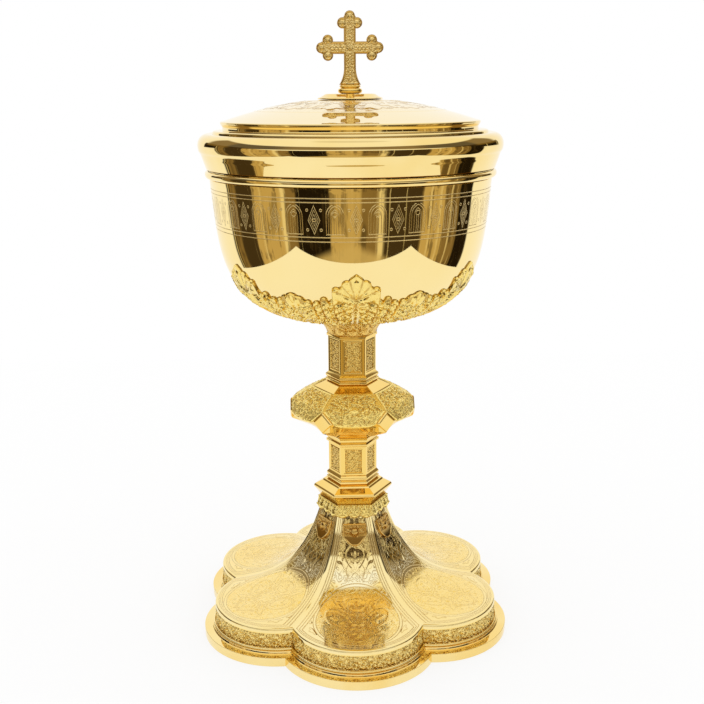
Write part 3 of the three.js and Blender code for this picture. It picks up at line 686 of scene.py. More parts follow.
CAST = relief_gold("cast_gold", 1000, BRIGHT_GOLD)
LEAFY = relief_gold("leaf_gold", 800, (0.98, 0.76, 0.24), 0.14, 0.06)
KNOP_GOLD = relief_gold("knop_gold", 620, (0.99, 0.76, 0.22), 0.12, 0.07, 0.7)
CAPITAL_GOLD = relief_gold("capital_gold", 900, (0.86, 0.57, 0.15), 0.3, 0.08)
SHIELD_GOLD = relief_gold("shield_gold", 900, (0.66, 0.42, 0.12), 0.3, 0.08)
CROSS_GOLD = relief_gold("cross_gold", 1300, (0.97, 0.74, 0.3), 0.16)
CHASED = relief_gold("chased_gold", 1700, (0.95, 0.67, 0.19), 0.42, 0.1)
STEEL = turned_steel()


CAMERA_TURN = math.radians(2.0)
CAMERA_AWAY = 0.4897
CAMERA_HEIGHT = 0.2634
CAMERA_TILT = 0.2507
CAMERA_ROLL = -0.0073
SENSOR_WIDTH = 36
VIEW_LENGTH, VIEW_WIDTH = 1012.5, 704


def build_camera():
    """The photograph's view: a little to the left of the front, down from the height of the lid."""
    data = bpy.data.cameras.new("photo_view")
    data.sensor_width = SENSOR_WIDTH
    data.lens = SENSOR_WIDTH * VIEW_LENGTH / VIEW_WIDTH
    camera = bpy.data.objects.new("photo_view", data)
    left = -CAMERA_AWAY * math.sin(CAMERA_TURN)
    place = Matrix.Translation((left, -CAMERA_AWAY * math.cos(CAMERA_TURN), CAMERA_HEIGHT))
    aim = Matrix.Rotation(-CAMERA_TURN, 4, "Z") @ Matrix.Rotation(math.pi / 2 - CAMERA_TILT, 4, "X")
    camera.matrix_world = place @ aim @ Matrix.Rotation(CAMERA_ROLL, 4, "Z")
    bpy.context.scene.collection.objects.link(camera)
    bpy.context.scene.camera = camera


TABLE_FRONT = 365
TABLE_SIDE = 390
TABLE_BACK = 520
TABLE_DROP = 0.05
TABLE_GLOW = 0.78


def build_table():
    """A white table, which ends where the photograph's does in the cup's reflection."""
    material, shop = new_material("white_table")
    place = shop.place()
    grain = shop.noise(place, 120)
    values = {
        "Base Color": shop.mixed(grain, (0.98, 0.98, 0.98), (1, 1, 1)),
        "Roughness": 0.9,
        "Specular IOR Level": 0.0,
    }
    cloth = shop.node("ShaderNodeBsdfPrincipled", None, values)
    rays = shop.node("ShaderNodeLightPath", out=None)
    seen = Value(shop, rays.outputs["Is Camera Ray"]).most(Value(shop, rays.outputs["Is Glossy Ray"]))
    white = shop.node("ShaderNodeEmission", None, {"Color": (1, 1, 1, 1), "Strength": 1.0})
    shader = shop.node("ShaderNodeMixShader", None, {0: seen * TABLE_GLOW, 1: cloth, 2: white})
    shop.node("ShaderNodeOutputMaterial", None, {"Surface": shader}, out=None)
    front = [(-TABLE_SIDE, -TABLE_FRONT), (TABLE_SIDE, -TABLE_FRONT)]
    back = [(TABLE_SIDE, TABLE_BACK), (-TABLE_SIDE, TABLE_BACK)]
    mesh = bpy.data.meshes.new("table")
    mesh.from_pydata([(x * MM, y * MM, -TABLE_DROP * MM) for x, y in front + back], [], [(0, 1, 2, 3)])
    mesh.materials.append(material)
    table = bpy.data.objects.new("table", mesh)
    bpy.context.scene.collection.objects.link(table)


def build_world():
    """Even white light. Only polished metal sees the room: a white ceiling and backdrop, and in
    front, past the table, upright hangings in dark and straw-coloured cloth."""
    world = bpy.data.worlds.new("studio")
    bpy.context.scene.world = world
    shop = Shop(world)
    place = shop.node("ShaderNodeTexCoord", out="Generated")
    x, y, z = shop.parts(place)
    side = x.atan2(y * -1.0)
    ink, umber, bronze = (0.014, 0.009, 0.004), (0.055, 0.036, 0.015), (0.24, 0.16, 0.06)
    straw, linen, white = (0.55, 0.4, 0.17), (0.8, 0.68, 0.42), (1, 0.99, 0.96)
    # each hanging's left end, in degrees to the right of the front, and its colour
    hangings = (
        (-180, white), (-140, ink), (-116, bronze), (-108, umber),
        (-88, straw), (-60, linen), (-56, bronze), (-47, ink),
        (-19, straw), (6, bronze), (20, linen), (25, umber),
        (58, straw), (80, bronze), (96, ink), (140, white),
    )
    stops = []
    for i, (left, cloth) in enumerate(hangings):
        right = hangings[i + 1][0] if i + 1 < len(hangings) else 180
        stops += [((left + 180 + 0.7) / 360, cloth), ((right + 180 - 0.7) / 360, cloth)]
    cloths = shop.node("ShaderNodeValToRGB", {"stops": stops[1:-1]}, {0: side / TAU + 0.5})
    turn = {"W": side, "Scale": 11.0, "Detail": 4.0, "Roughness": 0.7}
    folds = shop.node("ShaderNodeTexNoise", {"noise_dimensions": "1D"}, turn)
    uneven = shop.node("ShaderNodeTexNoise", None, {"Vector": place, "Scale": 9.0, "Detail": 5.0})
    sweep = side.rise(1.95, 1.99).most((side * -1.0).rise(2.08, 2.13)) * (1 - z.rise(-0.05, -0.01))
    hung = sweep.most(abs(side).rise(2.4, 2.46))
    shade = (folds * 0.6 + uneven * 0.7 - 0.15).rise(0.5, 0.62) * (1 - hung)
    draped = shop.mixed(shade * 0.6, shop.mixed(sweep, cloths, white), umber)
    lit = (0.34 - folds + uneven * 0.1).rise(0.0, 0.06) * (1 - hung) * 0.7
    draped = shop.mixed(lit, draped, linen)
    middle = abs(side + 0.05)
    stool = (1 - (z + middle * 0.16).rise(-0.44, -0.36)) * (1 - middle.rise(0.6, 0.66))
    draped = shop.mixed(stool * 0.8, draped, (0.62, 0.48, 0.24))
    top = abs(side).rise(0.9, 1.5) * 0.17 + 0.05
    room = shop.mixed((z - top).rise(-0.015, 0.015), draped, (1.0, 0.99, 0.97))
    rail_height = 0.4 - abs(side) * 0.02
    rail_half = abs(side) * 0.045 + 0.1
    rail = (1 - (abs(z - rail_height) - rail_half).rise(0.0, 0.05)) * (1 - abs(side).rise(2.3, 2.45))
    flank = abs(side).rise(0.7, 1.1) * (1 - abs(side).rise(1.75, 1.9))
    room = shop.mixed(rail * 0.92, room, shop.mixed(flank, (0.2, 0.13, 0.04), umber))
    room = shop.mixed(z.rise(0.955, 0.975) * 0.25, room, bronze)
    rays = shop.node("ShaderNodeLightPath", out=None)
    glossy = Value(shop, rays.outputs["Is Glossy Ray"])
    seen = shop.mixed(glossy, (1, 1, 1), room)
    light = shop.node("ShaderNodeBackground", None, {"Color": seen, "Strength": 1.0})
    shop.node("ShaderNodeOutputWorld", None, {"Surface": light}, out=None)


build_camera()
build_table()
build_world()


# Foot

LOBE_PITCH = 43.5
FLANGE_LOBE_R = 38.6
GALLERY_LOBE_R = 33.0
SHELL_LOBE_R = 32.1
CONE_TOP_R = 15.2
RIDGE_FALL = 13.5
PANEL_FALL = 11.5
RIM_H = 2.1
WIRE_R = 0.62
FOOT_RELIEF = 0.45
FLANGE_TOP = levels("foot_flange")[1]
GALLERY_TOP = levels("foot_gallery")[1]
CONE_TOP = levels("foot_shell")[1]
LOBE_TOP = GALLERY_TOP + RIM_H
RING_R = 21.4
RING_OUT = 51.7
RING_MIDDLE = 24.8


def notch_angle(lobe_r):
    """The half angle of a lobe, seen from its own middle, up to the notch between two lobes."""
    notch_r = LOBE_PITCH * FLAT + math.sqrt(lobe_r**2 - (LOBE_PITCH * 0.5) ** 2)
    return math.atan2(notch_r * 0.5, notch_r * FLAT - LOBE_PITCH)


def all_round(out, along, height):
    """Turns one side's points, given as distances out and along, into all six sides'."""
    rings = []
    for side in range(SIDES):
        middle = FRONT + side * 2 * CORNER
        x = out * math.cos(middle) - along * math.sin(middle)
        y = out * math.sin(middle) + along * math.cos(middle)
        rings.append(np.stack([x, y, np.broadcast_to(height, x.shape)], axis=-1))
    return np.concatenate(rings, axis=-2)


def lobed_rings(profile, per_lobe):
    """A profile of lobe radius and height carried round the six lobes."""
    share = np.arange(per_lobe) / per_lobe * 2 - 1
    rings = []
    for lobe_r, height in profile:
        angle = share * notch_angle(lobe_r)
        rings.append(all_round(LOBE_PITCH + lobe_r * np.cos(angle), lobe_r * np.sin(angle), height))
    return np.array(rings)


def shell_surface(u, share):
    """Points of the shell's outside: u from its edge to the cone's top, share from -1 to 1."""
    half = notch_angle(SHELL_LOBE_R)
    notch_r = SHELL_LOBE_R * math.sin(half) / 0.5
    tip_r = LOBE_PITCH + SHELL_LOBE_R
    left = (1 - u) ** 1.5
    ridge_r = CONE_TOP_R + (notch_r - CONE_TOP_R) * left
    top_r = CONE_TOP_R * FLAT
    panel_r = top_r + (tip_r - top_r) * left

    def rise(r, start, end, fall):
        rim = math.exp(-(end - start) / fall)
        return (CONE_TOP - LOBE_TOP) * (np.exp(-(r - start) / fall) - rim) / (1 - rim)

    ridge_z = LOBE_TOP + rise(ridge_r, CONE_TOP_R, notch_r, RIDGE_FALL)
    panel_z = LOBE_TOP + rise(panel_r, top_r, tip_r, PANEL_FALL)
    bulge = (np.cos(share * half) - math.cos(half)) / (1 - math.cos(half))
    out = ridge_r * FLAT + (panel_r - ridge_r * FLAT) * bulge
    along = ridge_r * 0.5 * np.sin(share * half) / math.sin(half)
    return out, along, ridge_z + (panel_z - ridge_z) * bulge


def build_flange():
    """The plain lobed plate that the foot stands on."""
    inner = GALLERY_LOBE_R - 3
    edge = FLANGE_LOBE_R
    step = GALLERY_LOBE_R + 1.7
    outer = [(inner, 0), (edge, 0), (edge, 4.4), (step, 4.45), (step - 0.1, FLANGE_TOP)]
    rings = lobed_rings(eased([*outer, (inner, FLANGE_TOP)], 0.22, closed=True), 72)
    dressed(hooped("foot_plate", rings), "base", "gilt_polished", POLISHED, "foot_flange")


def build_foot_bead():
    """The round wire along the bottom of the gallery."""
    centre = GALLERY_LOBE_R + WIRE_R
    turns = np.arange(10) * TAU / 10
    profile = np.stack([centre + WIRE_R * np.cos(turns), FLANGE_TOP + 0.66 + WIRE_R * np.sin(turns)], axis=1)
    wire = hooped("foot_wire", lobed_rings(profile, 72), sharp=50)
    dressed(wire, "base", "gilt_polished", POLISHED, "foot_bead")


def vine_tile(width, height, lift):
    """One repeat of a running vine between two fillets: a wave with a scroll on each side, leaves
    between, and a granulated ground."""
    tile = Relief(width / 2, height, 0.07)
    x = np.linspace(-width * 0.6, width * 0.6, 25)
    wave = height / 2 + height * 0.17 * np.sin(x / width * TAU)
    tile.line(np.stack([x, wave], axis=1), (0.3, 0.3), lift, both=False)
    for side in (1, -1):
        centre = (side * -width / 4, height / 2 + side * height * 0.16)
        tile.volute(centre[0], centre[1], height * 0.2, side * 1.5 + 1.57, 1.1, side, 0.26, lift, both=False)
        for turn in (-1.3, -0.65, 0, 0.65, 1.3):
            foot = (side * width / 4, height / 2 + side * height * 0.16)
            way = math.pi / 2 * (1 - side) + turn
            tile.leaf(foot, way, height * 0.24, 0.42, lift, both=False)
        tile.trefoil((side * width * 0.47, height / 2), side * 0.5, height * 0.26, lift, both=False)
        tile.boss(side * width * 0.05, height / 2 - side * height * 0.3, 0.5, lift, both=False)
        tile.boss(side * width * 0.36, height / 2 - side * height * 0.33, 0.45, lift, both=False)
    tile.strew(0.85, 0.46, lift * 0.72, wrap=width)
    return tile


def build_gallery():
    """The upright strip round the foot: a vine cast in relief between two fillets."""
    rows, per_lobe, repeats = 40, 336, 12
    base = np.linspace(FLANGE_TOP, GALLERY_TOP, rows)
    arc = 2 * notch_angle(GALLERY_LOBE_R) * GALLERY_LOBE_R
    width = arc / repeats
    lift = 0.75
    tile = vine_tile(width, GALLERY_TOP - FLANGE_TOP, lift)
    seat = GALLERY_LOBE_R - 0.76
    share = np.arange(per_lobe) / per_lobe
    across = (share * repeats % 1 - 0.5) * width
    gx, gz = np.meshgrid(across, base - FLANGE_TOP)
    from_edge = np.minimum(gz, GALLERY_TOP - FLANGE_TOP - gz)
    fillet = 1 - ramp(from_edge - 0.75, 0.2)
    height = np.maximum(tile.at(gx, gz) * (1 - fillet), fillet * 0.5)
    shade = np.where(fillet > 0.5, 2.0, height / lift)
    fade = ramp(np.minimum(share, 1 - share) * per_lobe, 3)
    height = height * fade
    rings = []
    for i in range(rows):
        angle = (share * 2 - 1) * notch_angle(seat)
        r = seat + height[i]
        rings.append(all_round(LOBE_PITCH + r * np.cos(angle), r * np.sin(angle), base[i]))
    inner = GALLERY_LOBE_R - 1.2
    back = lobed_rings([(inner, GALLERY_TOP), (inner, FLANGE_TOP)], per_lobe)
    marks = backed(np.tile(shade, (1, SIDES)), 2)
    strip = hooped("foot_vine_strip", np.concatenate([rings, back]), marks, 50)
    dressed(strip, "base", "gilt_cast", CAST, "foot_gallery")


def foot_design():
    """The chased design of one foot panel: a foliate quatrefoil in the ring, sprigs outside it,
    and a crossed vine with leaves that climbs the cone."""
    design = Relief(34, 110, 0.14)
    middle = RING_MIDDLE - 1
    low = FOOT_RELIEF
    design.rosette(0, middle, 4.6, low, 8)
    design.hoop(0, middle, 6.0, 0.35, low)
    for i in range(4):
        way = i * TAU / 4
        x, y = 9.6 * math.sin(way), middle + 10.4 * math.cos(way)
        design.hoop(x, y, 5.6, 0.36, low, both=False)
        design.trefoil((x - 2.4 * math.sin(way), y - 2.4 * math.cos(way)), way, 5.6, low, both=False)
        turn = way + TAU / 8
        x, y = 11.6 * math.sin(turn), middle + 12.6 * math.cos(turn)
        design.volute(x, y, 2.9, turn, 1.3, 1 if i % 2 else -1, 0.3, low, both=False)
        design.leaf((x, y), turn, 4.8, 1.0, low, both=False)
        design.leaf((0.6 * x, middle + 0.6 * (y - middle)), turn, 4.2, 0.9, low, both=False)
    for k in range(30):
        way = (k + 0.5) * TAU / 30
        x = (RING_R - 3.2) * math.sin(way)
        y = RING_MIDDLE + (RING_R - 3.2) * math.cos(way)
        design.boss(x, y, 0.5, low, both=False)
    for x, y, way in ((22.6, 14, 1.9), (24.2, 19, 1.5), (21, 8.5, 2.3)):
        design.trefoil((x, y), way, 3.2, low * 0.8)
    t = np.linspace(0, 1, 26)
    stem = np.stack([4.6 * np.sin((t * 2.0 - 0.36) * math.pi), 48.5 + 29 * t], axis=1)
    design.line(stem, (0.4, 0.32), low)
    arc = np.stack([3 + 7.5 * t, 49.5 + 10 * np.sin(t * math.pi / 2)], axis=1)
    design.line(arc, (0.36, 0.3), low)
    for x, y, way, size in (
        (5.6, 63.5, 0.9, 3.6),
        (6.4, 58.6, 1.2, 3.6),
        (4.6, 68.2, 0.7, 3.4),
        (3.8, 73.0, 0.5, 3.0),
        (8.8, 55.4, 0.5, 3.4),
        (10.8, 51.4, 0.3, 3.2),
        (3.2, 77.4, 0.6, 2.8),
    ):
        design.trefoil((x, y), way, size, low)
        design.volute(x + 0.9, y - 1.6, 1.3, way, 1.1, 1, 0.22, low)
    for y in (60.5, 66.0, 70.6, 75.0, 79.0):
        design.leaf((0, y), 0, 3.0, 0.8, low, both=False)
        design.boss(1.6, y + 1.4, 0.5, low)
    for y in (52.5, 55.2, 57.8):
        design.leaf((0.8, y), 0.6, 2.4, 0.55, low)
    return design


def build_foot_shell():
    """The raised shell: six lobes and a hollow-sided cone, chased and engraved."""
    rows, across = 146, 96
    u = np.linspace(0, 1, rows)[:, None]
    share = (np.arange(across) / across * 2 - 1)[None, :]
    out, along, height = shell_surface(u, share)
    mid_out, _, mid_z = shell_surface(u, 0.0)
    steps = np.hypot(np.diff(mid_out[:, 0]), np.diff(mid_z[:, 0]))
    climb = np.broadcast_to(np.concatenate([[0], np.cumsum(steps)])[:, None], out.shape)
    ridge_half = np.abs(shell_surface(u, -1.0)[1])
    to_ridge = ridge_half - np.abs(along)
    from_centre = np.hypot(np.maximum(out - LOBE_PITCH, 0), along)
    to_rim = np.where(out > LOBE_PITCH, SHELL_LOBE_R - from_centre, 99.0)
    edge = np.minimum(to_ridge, to_rim)
    design = foot_design()
    lift = design.at(along, climb) * ramp(edge - 2.6, 0.5)
    rings = all_round(out, along, height)
    normal = outward(rings)
    lift_round = np.tile(lift, (1, SIDES))
    in_ring = np.hypot(along, out - RING_OUT) - RING_R
    carved = lift_round * np.tile(np.where(in_ring < 0, 0.3, 0.6), (1, SIDES))
    outer = rings + normal * carved[..., None]
    rim = [(GALLERY_LOBE_R, GALLERY_TOP), (GALLERY_LOBE_R, GALLERY_TOP + 0.8)]
    rim += [(GALLERY_LOBE_R - 0.15, LOBE_TOP - 0.55), (GALLERY_LOBE_R - 0.45, LOBE_TOP - 0.15)]
    rim_rings = lobed_rings(rim, across)
    bore, wall, inset = 3.4, 1.2, 1.68
    angle = np.arange(across * SIDES) * TAU / (across * SIDES) + FRONT - CORNER
    hole = [around(bore, angle, z) for z in (CONE_TOP, CONE_TOP - wall)]
    under = rings[::-8]
    reach = np.hypot(under[..., 0], under[..., 1])
    under = under * np.stack([1 - inset / reach] * 2 + [np.ones(reach.shape)], axis=-1)
    under[..., 2] -= wall
    foot = lobed_rings([(GALLERY_LOBE_R - wall, GALLERY_TOP)], across)
    all_rings = np.concatenate([rim_rings, outer, hole, under, foot])
    before, after = len(rim_rings), len(all_rings) - len(rim_rings) - rows

    def padded(values, fill=0.0):
        values = np.tile(values, (1, SIDES))
        width = values.shape[1]
        return np.concatenate([np.full((before, width), fill), values, np.full((after, width), fill)])

    chart = np.stack([padded(np.abs(along)), padded(climb), padded(climb * 0)], axis=-1)
    marks = {"relief": padded(lift / FOOT_RELIEF), "edge": padded(edge, 0.2), "ring": padded(in_ring, 9.0)}
    marks["chart"] = chart
    shell = hooped("foot_shell_chased", all_rings, marks, 45)
    dressed(shell, "base", "gilt_engraved", engraved_gold(), "foot_shell")


build_flange()
build_foot_bead()
build_gallery()
build_foot_shell()

# Stem and knop

STEM_BORE_R = 4.0
STEM_RING_R = 13.4


def build_moulding(name, node, profile, ease=0.22):
    """A six-sided moulded ring round the tie rod. The profile's heights are from its foot."""
    low, high = levels(node)
    outline = [(STEM_BORE_R, low), *[(r, low + z) for r, z in profile], (STEM_BORE_R, high)]
    ring = hooped(name, hex_rings(eased(outline, ease, closed=True)), sharp=40)
    dressed(ring, "base", "gilt_polished", STEM_POLISH, node)


def stem_ring(low_r, high_r):
    """The double moulding at an end of a stem tube."""
    ring = ((0, 0.6), (0, 1.7), (-0.9, 2.2), (-0.1, 2.8), (-0.1, 3.8))
    return [(low_r, 0), *[(STEM_RING_R + out, z) for out, z in ring], (high_r, 5.0)]


def stem_panel(width, height, lift):
    """Foliage for one sunk panel: rosettes one above the other, with leaves to the corners."""
    panel = Relief(width / 2, height, 0.06)
    count = max(2, round(height / 4.6))
    pitch = height / count
    for i in range(count):
        middle = (i + 0.5) * pitch
        panel.rosette(0, middle, pitch * 0.3, lift, 6)
        panel.hoop(0, middle, pitch * 0.4, 0.16, lift * 0.8)
        for up in (1, -1):
            way = math.pi / 4 if up > 0 else math.pi * 0.75
            panel.trefoil((1.4, middle + up * 1.2), way, 1.7, lift)
            panel.boss(width / 2 - 0.5, middle + up * pitch * 0.18, 0.32, lift)
    for i in range(count + 1):
        panel.boss(0, i * pitch, 0.5, lift)
        panel.boss(width * 0.27, i * pitch, 0.4, lift)
    panel.strew(0.62, 0.36, lift * 0.8)
    return panel


def build_stem(name, node, radius):
    """A six-sided tube with a moulded frame round a sunk panel of foliage on each face."""
    low, high = levels(node)
    height = high - low
    across, rows, arc = 46, max(60, int(height / 0.22)), 5
    z = np.linspace(0, height, rows)
    rings = hex_rings([(radius, low + h) for h in z], 0.3, across)
    half = radius / 2 - 2.05
    sill = 1.7
    lift = 0.42
    panel = stem_panel(2 * half, height - 2 * sill, lift)
    tangent = np.array([-math.sin(FRONT), math.cos(FRONT)])
    x = rings[0, arc : arc + across, :2] @ tangent
    gx, gz = np.meshgrid(x, z)
    inside = np.minimum(half - np.abs(gx), np.minimum(gz, height - gz) - sill)
    carved = panel.at(gx, gz - sill)
    step = ramp(inside, 0.14)
    line = 0.2 * np.exp(-(((inside + 0.5) / 0.12) ** 2))
    sink = step * (0.58 - carved) + line
    relief = np.where(inside > 0.05, carved / lift, 2.0)
    shade = np.full(rings.shape[:2], 2.0)
    for side in range(SIDES):
        first = side * (arc + across) + arc
        middle = FRONT + side * 2 * CORNER
        rings[:, first : first + across, 0] -= sink * math.cos(middle)
        rings[:, first : first + across, 1] -= sink * math.sin(middle)
        shade[:, first : first + across] = relief
    inner = hex_rings([(radius - 2.6, high), (radius - 2.6, low)], 0.3, across)
    tube = hooped(name, np.concatenate([rings, inner]), backed(shade, 2), 40)
    dressed(tube, "base", "gilt_engraved", CHASED, node)


KNOP_FOOT, KNOP_TOP = levels("knop_body")
KNOP_MIDDLE = KNOP_FOOT + 13.2
LOZENGE_HALF = 5.4
LOZENGE_SEAT_R = 30.65
BESIDE = math.atan2(LOZENGE_HALF, 31.15)


def knop_ring(corner, beside, middle, height):
    """A ring through the corner, the points beside it and the middle of each side."""
    steps = 6
    way = []
    for side in range(SIDES):
        a = side * 2 * CORNER
        for r, turn in ((corner, 0), (beside, BESIDE), (middle, CORNER), (beside, 2 * CORNER - BESIDE)):
            way.append((r * math.cos(a + turn), r * math.sin(a + turn)))
    way = np.array(way)
    share = (np.arange(steps) / steps)[None, :, None]
    points = (way[:, None] * (1 - share) + np.roll(way, -1, axis=0)[:, None] * share).reshape(-1, 2)
    return np.concatenate([points, np.full((len(points), 1), height)], axis=1)


def build_knop():
    """The knop's core, which shows as its sloping top, its smooth underside and the lines
    between the panels."""

    def even(r, z):
        return knop_ring(r, r * FLAT / math.cos(CORNER - BESIDE), r * FLAT, z)

    c = KNOP_MIDDLE
    rings = [
        even(STEM_BORE_R, KNOP_FOOT),
        even(14.0, KNOP_FOOT),
        even(16.6, c - 11.5),
        knop_ring(30.6, 26.6, 23.2, c - 5.5),
        knop_ring(30.4, 28.6, 28.4, c - 2.6),
        knop_ring(30.4, 30.6, 29.0, c),
        knop_ring(30.4, 28.0, 26.5, c + 5.0),
        even(19.6, c + 10.8),
        even(19.0, c + 11.35),
        even(13.4, KNOP_TOP - 0.05),
        even(STEM_BORE_R, KNOP_TOP),
    ]
    rings = np.array(rings)
    soft = [eased(column, 0.3, closed=True) for column in rings.swapaxes(0, 1)]
    core = hooped("knop_core", np.stack(soft, axis=1), sharp=30)
    dressed(core, "base", "gilt_polished", STEM_POLISH, "knop_body")


def turned_side(x, y, z, angle):
    """A point of the front side, moved round to another side."""
    cos, sin = math.cos(angle), math.sin(angle)
    return np.stack([x * cos - y * sin, x * sin + y * cos, z], axis=-1)


def six_plates(names, slot, material, outline, heights, place, half_width, low, high, step, start=0.0):
    """One plate for each side, drawn for the front one. names gives the name of the piece and of
    the solid that it stands for."""
    for side in range(SIDES):

        def turned(x, y, h, angle=side * 2 * CORNER + start):
            return turned_side(*place(x, y, h), angle)

        title, node = ["%s_%d" % (name, side + 1) for name in names]
        made = plate(title, outline, heights, turned, half_width, low, high, step)
        dressed(made, "base", slot, material, node)


def follow(path):
    """A function from the length along a path of (out, height) to a point of it and its normal."""
    steps = np.concatenate([[0], np.cumsum(np.hypot(*np.diff(path, axis=0).T))])
    slope = np.gradient(path, steps, axis=0)

    def at(length):
        out = np.interp(length, steps, path[:, 0])
        z = np.interp(length, steps, path[:, 1])
        run = np.interp(length, steps, slope[:, 0])
        climb = np.interp(length, steps, slope[:, 1])
        return out, z, climb, -run

    return at, steps[-1]


def knop_foliage(low, high):
    """Vine scrolls that spread from the middle of a knop panel, on a granulated ground."""
    height = high - low
    sheet = Relief(16.5, height, 0.08)
    lift = 0.6
    brow = -low
    sheet.rosette(0, brow + 0.5, 2.2, lift, 8)
    sheet.hoop(0, brow + 0.5, 2.7, 0.2, lift)
    for x, y, r, start, hand in (
        (5.2, brow + 3.4, 2.1, -1.2, 1),
        (5.8, brow - 1.8, 1.9, -1.8, -1),
        (10.2, brow + 1.0, 1.9, -1.4, 1),
        (2.7, brow + 7.4, 1.6, -2.0, -1),
        (7.2, brow + 7.2, 1.5, -1.0, 1),
        (13.0, brow - 0.4, 1.2, -1.0, -1),
    ):
        sheet.volute(x, y, r, start, 1.3, hand, 0.24, lift)
    for x, y, way, size in (
        (0, brow + 4.2, 0, 2.6),
        (8.4, brow + 4.8, 0.5, 2.0),
        (4.8, brow + 6.6, 0.1, 2.0),
        (9.0, brow - 3.6, 1.9, 1.9),
        (3.0, brow - 4.0, 3.0, 2.0),
        (12.0, brow - 2.4, 1.5, 1.6),
        (0, brow - 2.6, 3.14, 2.2),
        (9.0, brow + 8.6, 0.6, 1.7),
        (11.4, brow + 3.6, 0.9, 1.7),
    ):
        sheet.trefoil((x, y), way, size, lift)
    for x, y in ((8.0, brow - 1.0), (3.2, brow + 1.4), (7.8, brow + 2.6), (0, brow + 9.6)):
        sheet.boss(x, y, 0.5, lift)
    sheet.strew(1.3, 0.7, lift * 0.85)
    return sheet, lift


def build_knop_panels():
    """Six framed panels of foliage bent over the brow of the knop, with a crease up the middle."""
    c = KNOP_MIDDLE
    section = [(17.4, c + 11.4), (22.3, c + 8.4), (27.1, c + 5.2)]
    section += [(29.2, c + 1.4), (29.9, c - 0.3), (29.2, c - 1.9)]
    path = flowing(section)
    at, full = follow(path[::-1])
    brow = full - math.hypot(27.1 - 17.4, 6.2)
    low, high = 0.0, full
    foliage, lift = knop_foliage(-brow, full - brow)

    def outline(x, y):
        up = y - brow
        upper = (np.abs(x) - 15.3 + up * 5.6 / (high - brow)) * 0.88
        lower = (np.abs(x) - 15.3 - up * 4.7 / 5.6) * 0.76
        bow = 1.7 * (1 - ramp(np.abs(x), 10.8) ** 2)
        return np.maximum.reduce([upper, lower, y - high + 0.25, 1.75 - bow - y])

    def heights(x, y):
        off = -outline(x, y)
        field = ramp(off - 1.15, 0.2)
        carved = foliage.at(x, y)
        crown = 0.7 * ramp(off, 5) ** 0.7 + 0.2 * np.exp(-((x / 0.8) ** 2)) * (y > brow)
        frame_face = 0.55 * ramp(off, 0.25)
        face = frame_face * (1 - field) + field * (carved + crown - 0.15)
        return face, np.full(x.shape, -0.9), np.where(off < 1.2, 2.0, carved / lift)

    def place(x, y, h):
        out, z, n_out, n_z = at(y)
        bend = 0.75 * (x / 11) ** 2
        return x, -(out - bend + h * n_out), z + h * n_z

    names = ("knop_foliage", "knop_panel")
    six_plates(names, "gilt_cast", KNOP_GOLD, outline, heights, place, 16, low, high, 0.25)


def build_lozenges():
    """Six polished lozenges with bevelled edges on the corners of the knop."""
    half = LOZENGE_HALF - 0.1

    def outline(x, y):
        return (np.abs(x) + np.abs(y) - half) * math.sqrt(0.5)

    def heights(x, y):
        off = -outline(x, y)
        face = 0.55 * ramp(off, 0.5) + 0.08 * ramp(off, 3)
        return face, np.full(x.shape, -1.1), np.full(x.shape, 2.0)

    def place(x, y, h):
        return x, -(LOZENGE_SEAT_R + h), KNOP_MIDDLE + y

    names = ("knop_corner", "knop_lozenge")
    box = (half, -half, half, 0.3, math.pi / 2)
    six_plates(names, "gilt_polished", STEM_POLISH, outline, heights, place, *box)


def leaf_band(name, node, gold, profile, leaves, lift, columns, scallop=0.0, six_sided=0.0):
    """A ring of upright leaves between a lower and an upper edge: the profile's first point is
    its foot. A scallop draws its foot into lobes, and six_sided flattens it to the stem."""
    path = flowing(profile, 8)
    at, length = follow(path)
    mean_r = float(np.mean(path[:, 0]))
    width = TAU * mean_r / leaves
    tile = Relief(width / 2, length, 0.06)
    tile.leaf((0, 0.1), 0, length * 0.9, width * 0.2, lift, both=False, vein=0.35)
    for way in (0.55, 0.95):
        tile.leaf((0.2, length * 0.08), way, length * 0.45, width * 0.1, lift * 0.9)
        tile.leaf((0.1, length * 0.38), way, length * 0.4, width * 0.09, lift * 0.85)
    tile.leaf((width / 2, length * 0.3), 0, length * 0.6, width * 0.1, lift * 0.8)
    for x, y, size in ((0.5, 0.92, 0.12), (0.27, 0.95, 0.09), (0.5, 0.12, 0.11), (0, 0.93, 0.11)):
        tile.boss(width * x, length * y, width * size, lift)
    tile.strew(0.75, 0.42, lift * 0.7, wrap=width)
    angle = np.arange(columns) * TAU / columns
    local = (angle * leaves / TAU + 0.5) % 1 - 0.5
    rows = max(24, int(length / 0.2))
    s = np.linspace(0, length, rows)
    height = tile.at(*np.meshgrid(local * width, s))
    lobes = scallop * (1 - np.abs(np.cos(angle * leaves / 2)))
    reach = s[:, None] + lobes[None, :] * (1 - s[:, None] / length)
    out, z, n_out, n_z = at(reach)
    face = (angle + CORNER) % (2 * CORNER) - CORNER
    squeeze = 1 + six_sided * (FLAT / np.cos(face) - 1)
    edge = np.minimum(s, length - s)[:, None]
    height = height * ramp(edge, 0.3)
    r = (out + n_out * height) * squeeze
    z = z + n_z * height
    turn = FRONT + angle
    back = around((out - 0.9) * squeeze, turn, at(reach)[1])[[-1, rows // 2, 0]]
    rings = np.concatenate([around(r, turn, z), back])
    dressed(hooped(name, rings, backed(height / lift, 3), 50), "base", "gilt_cast", gold, node)


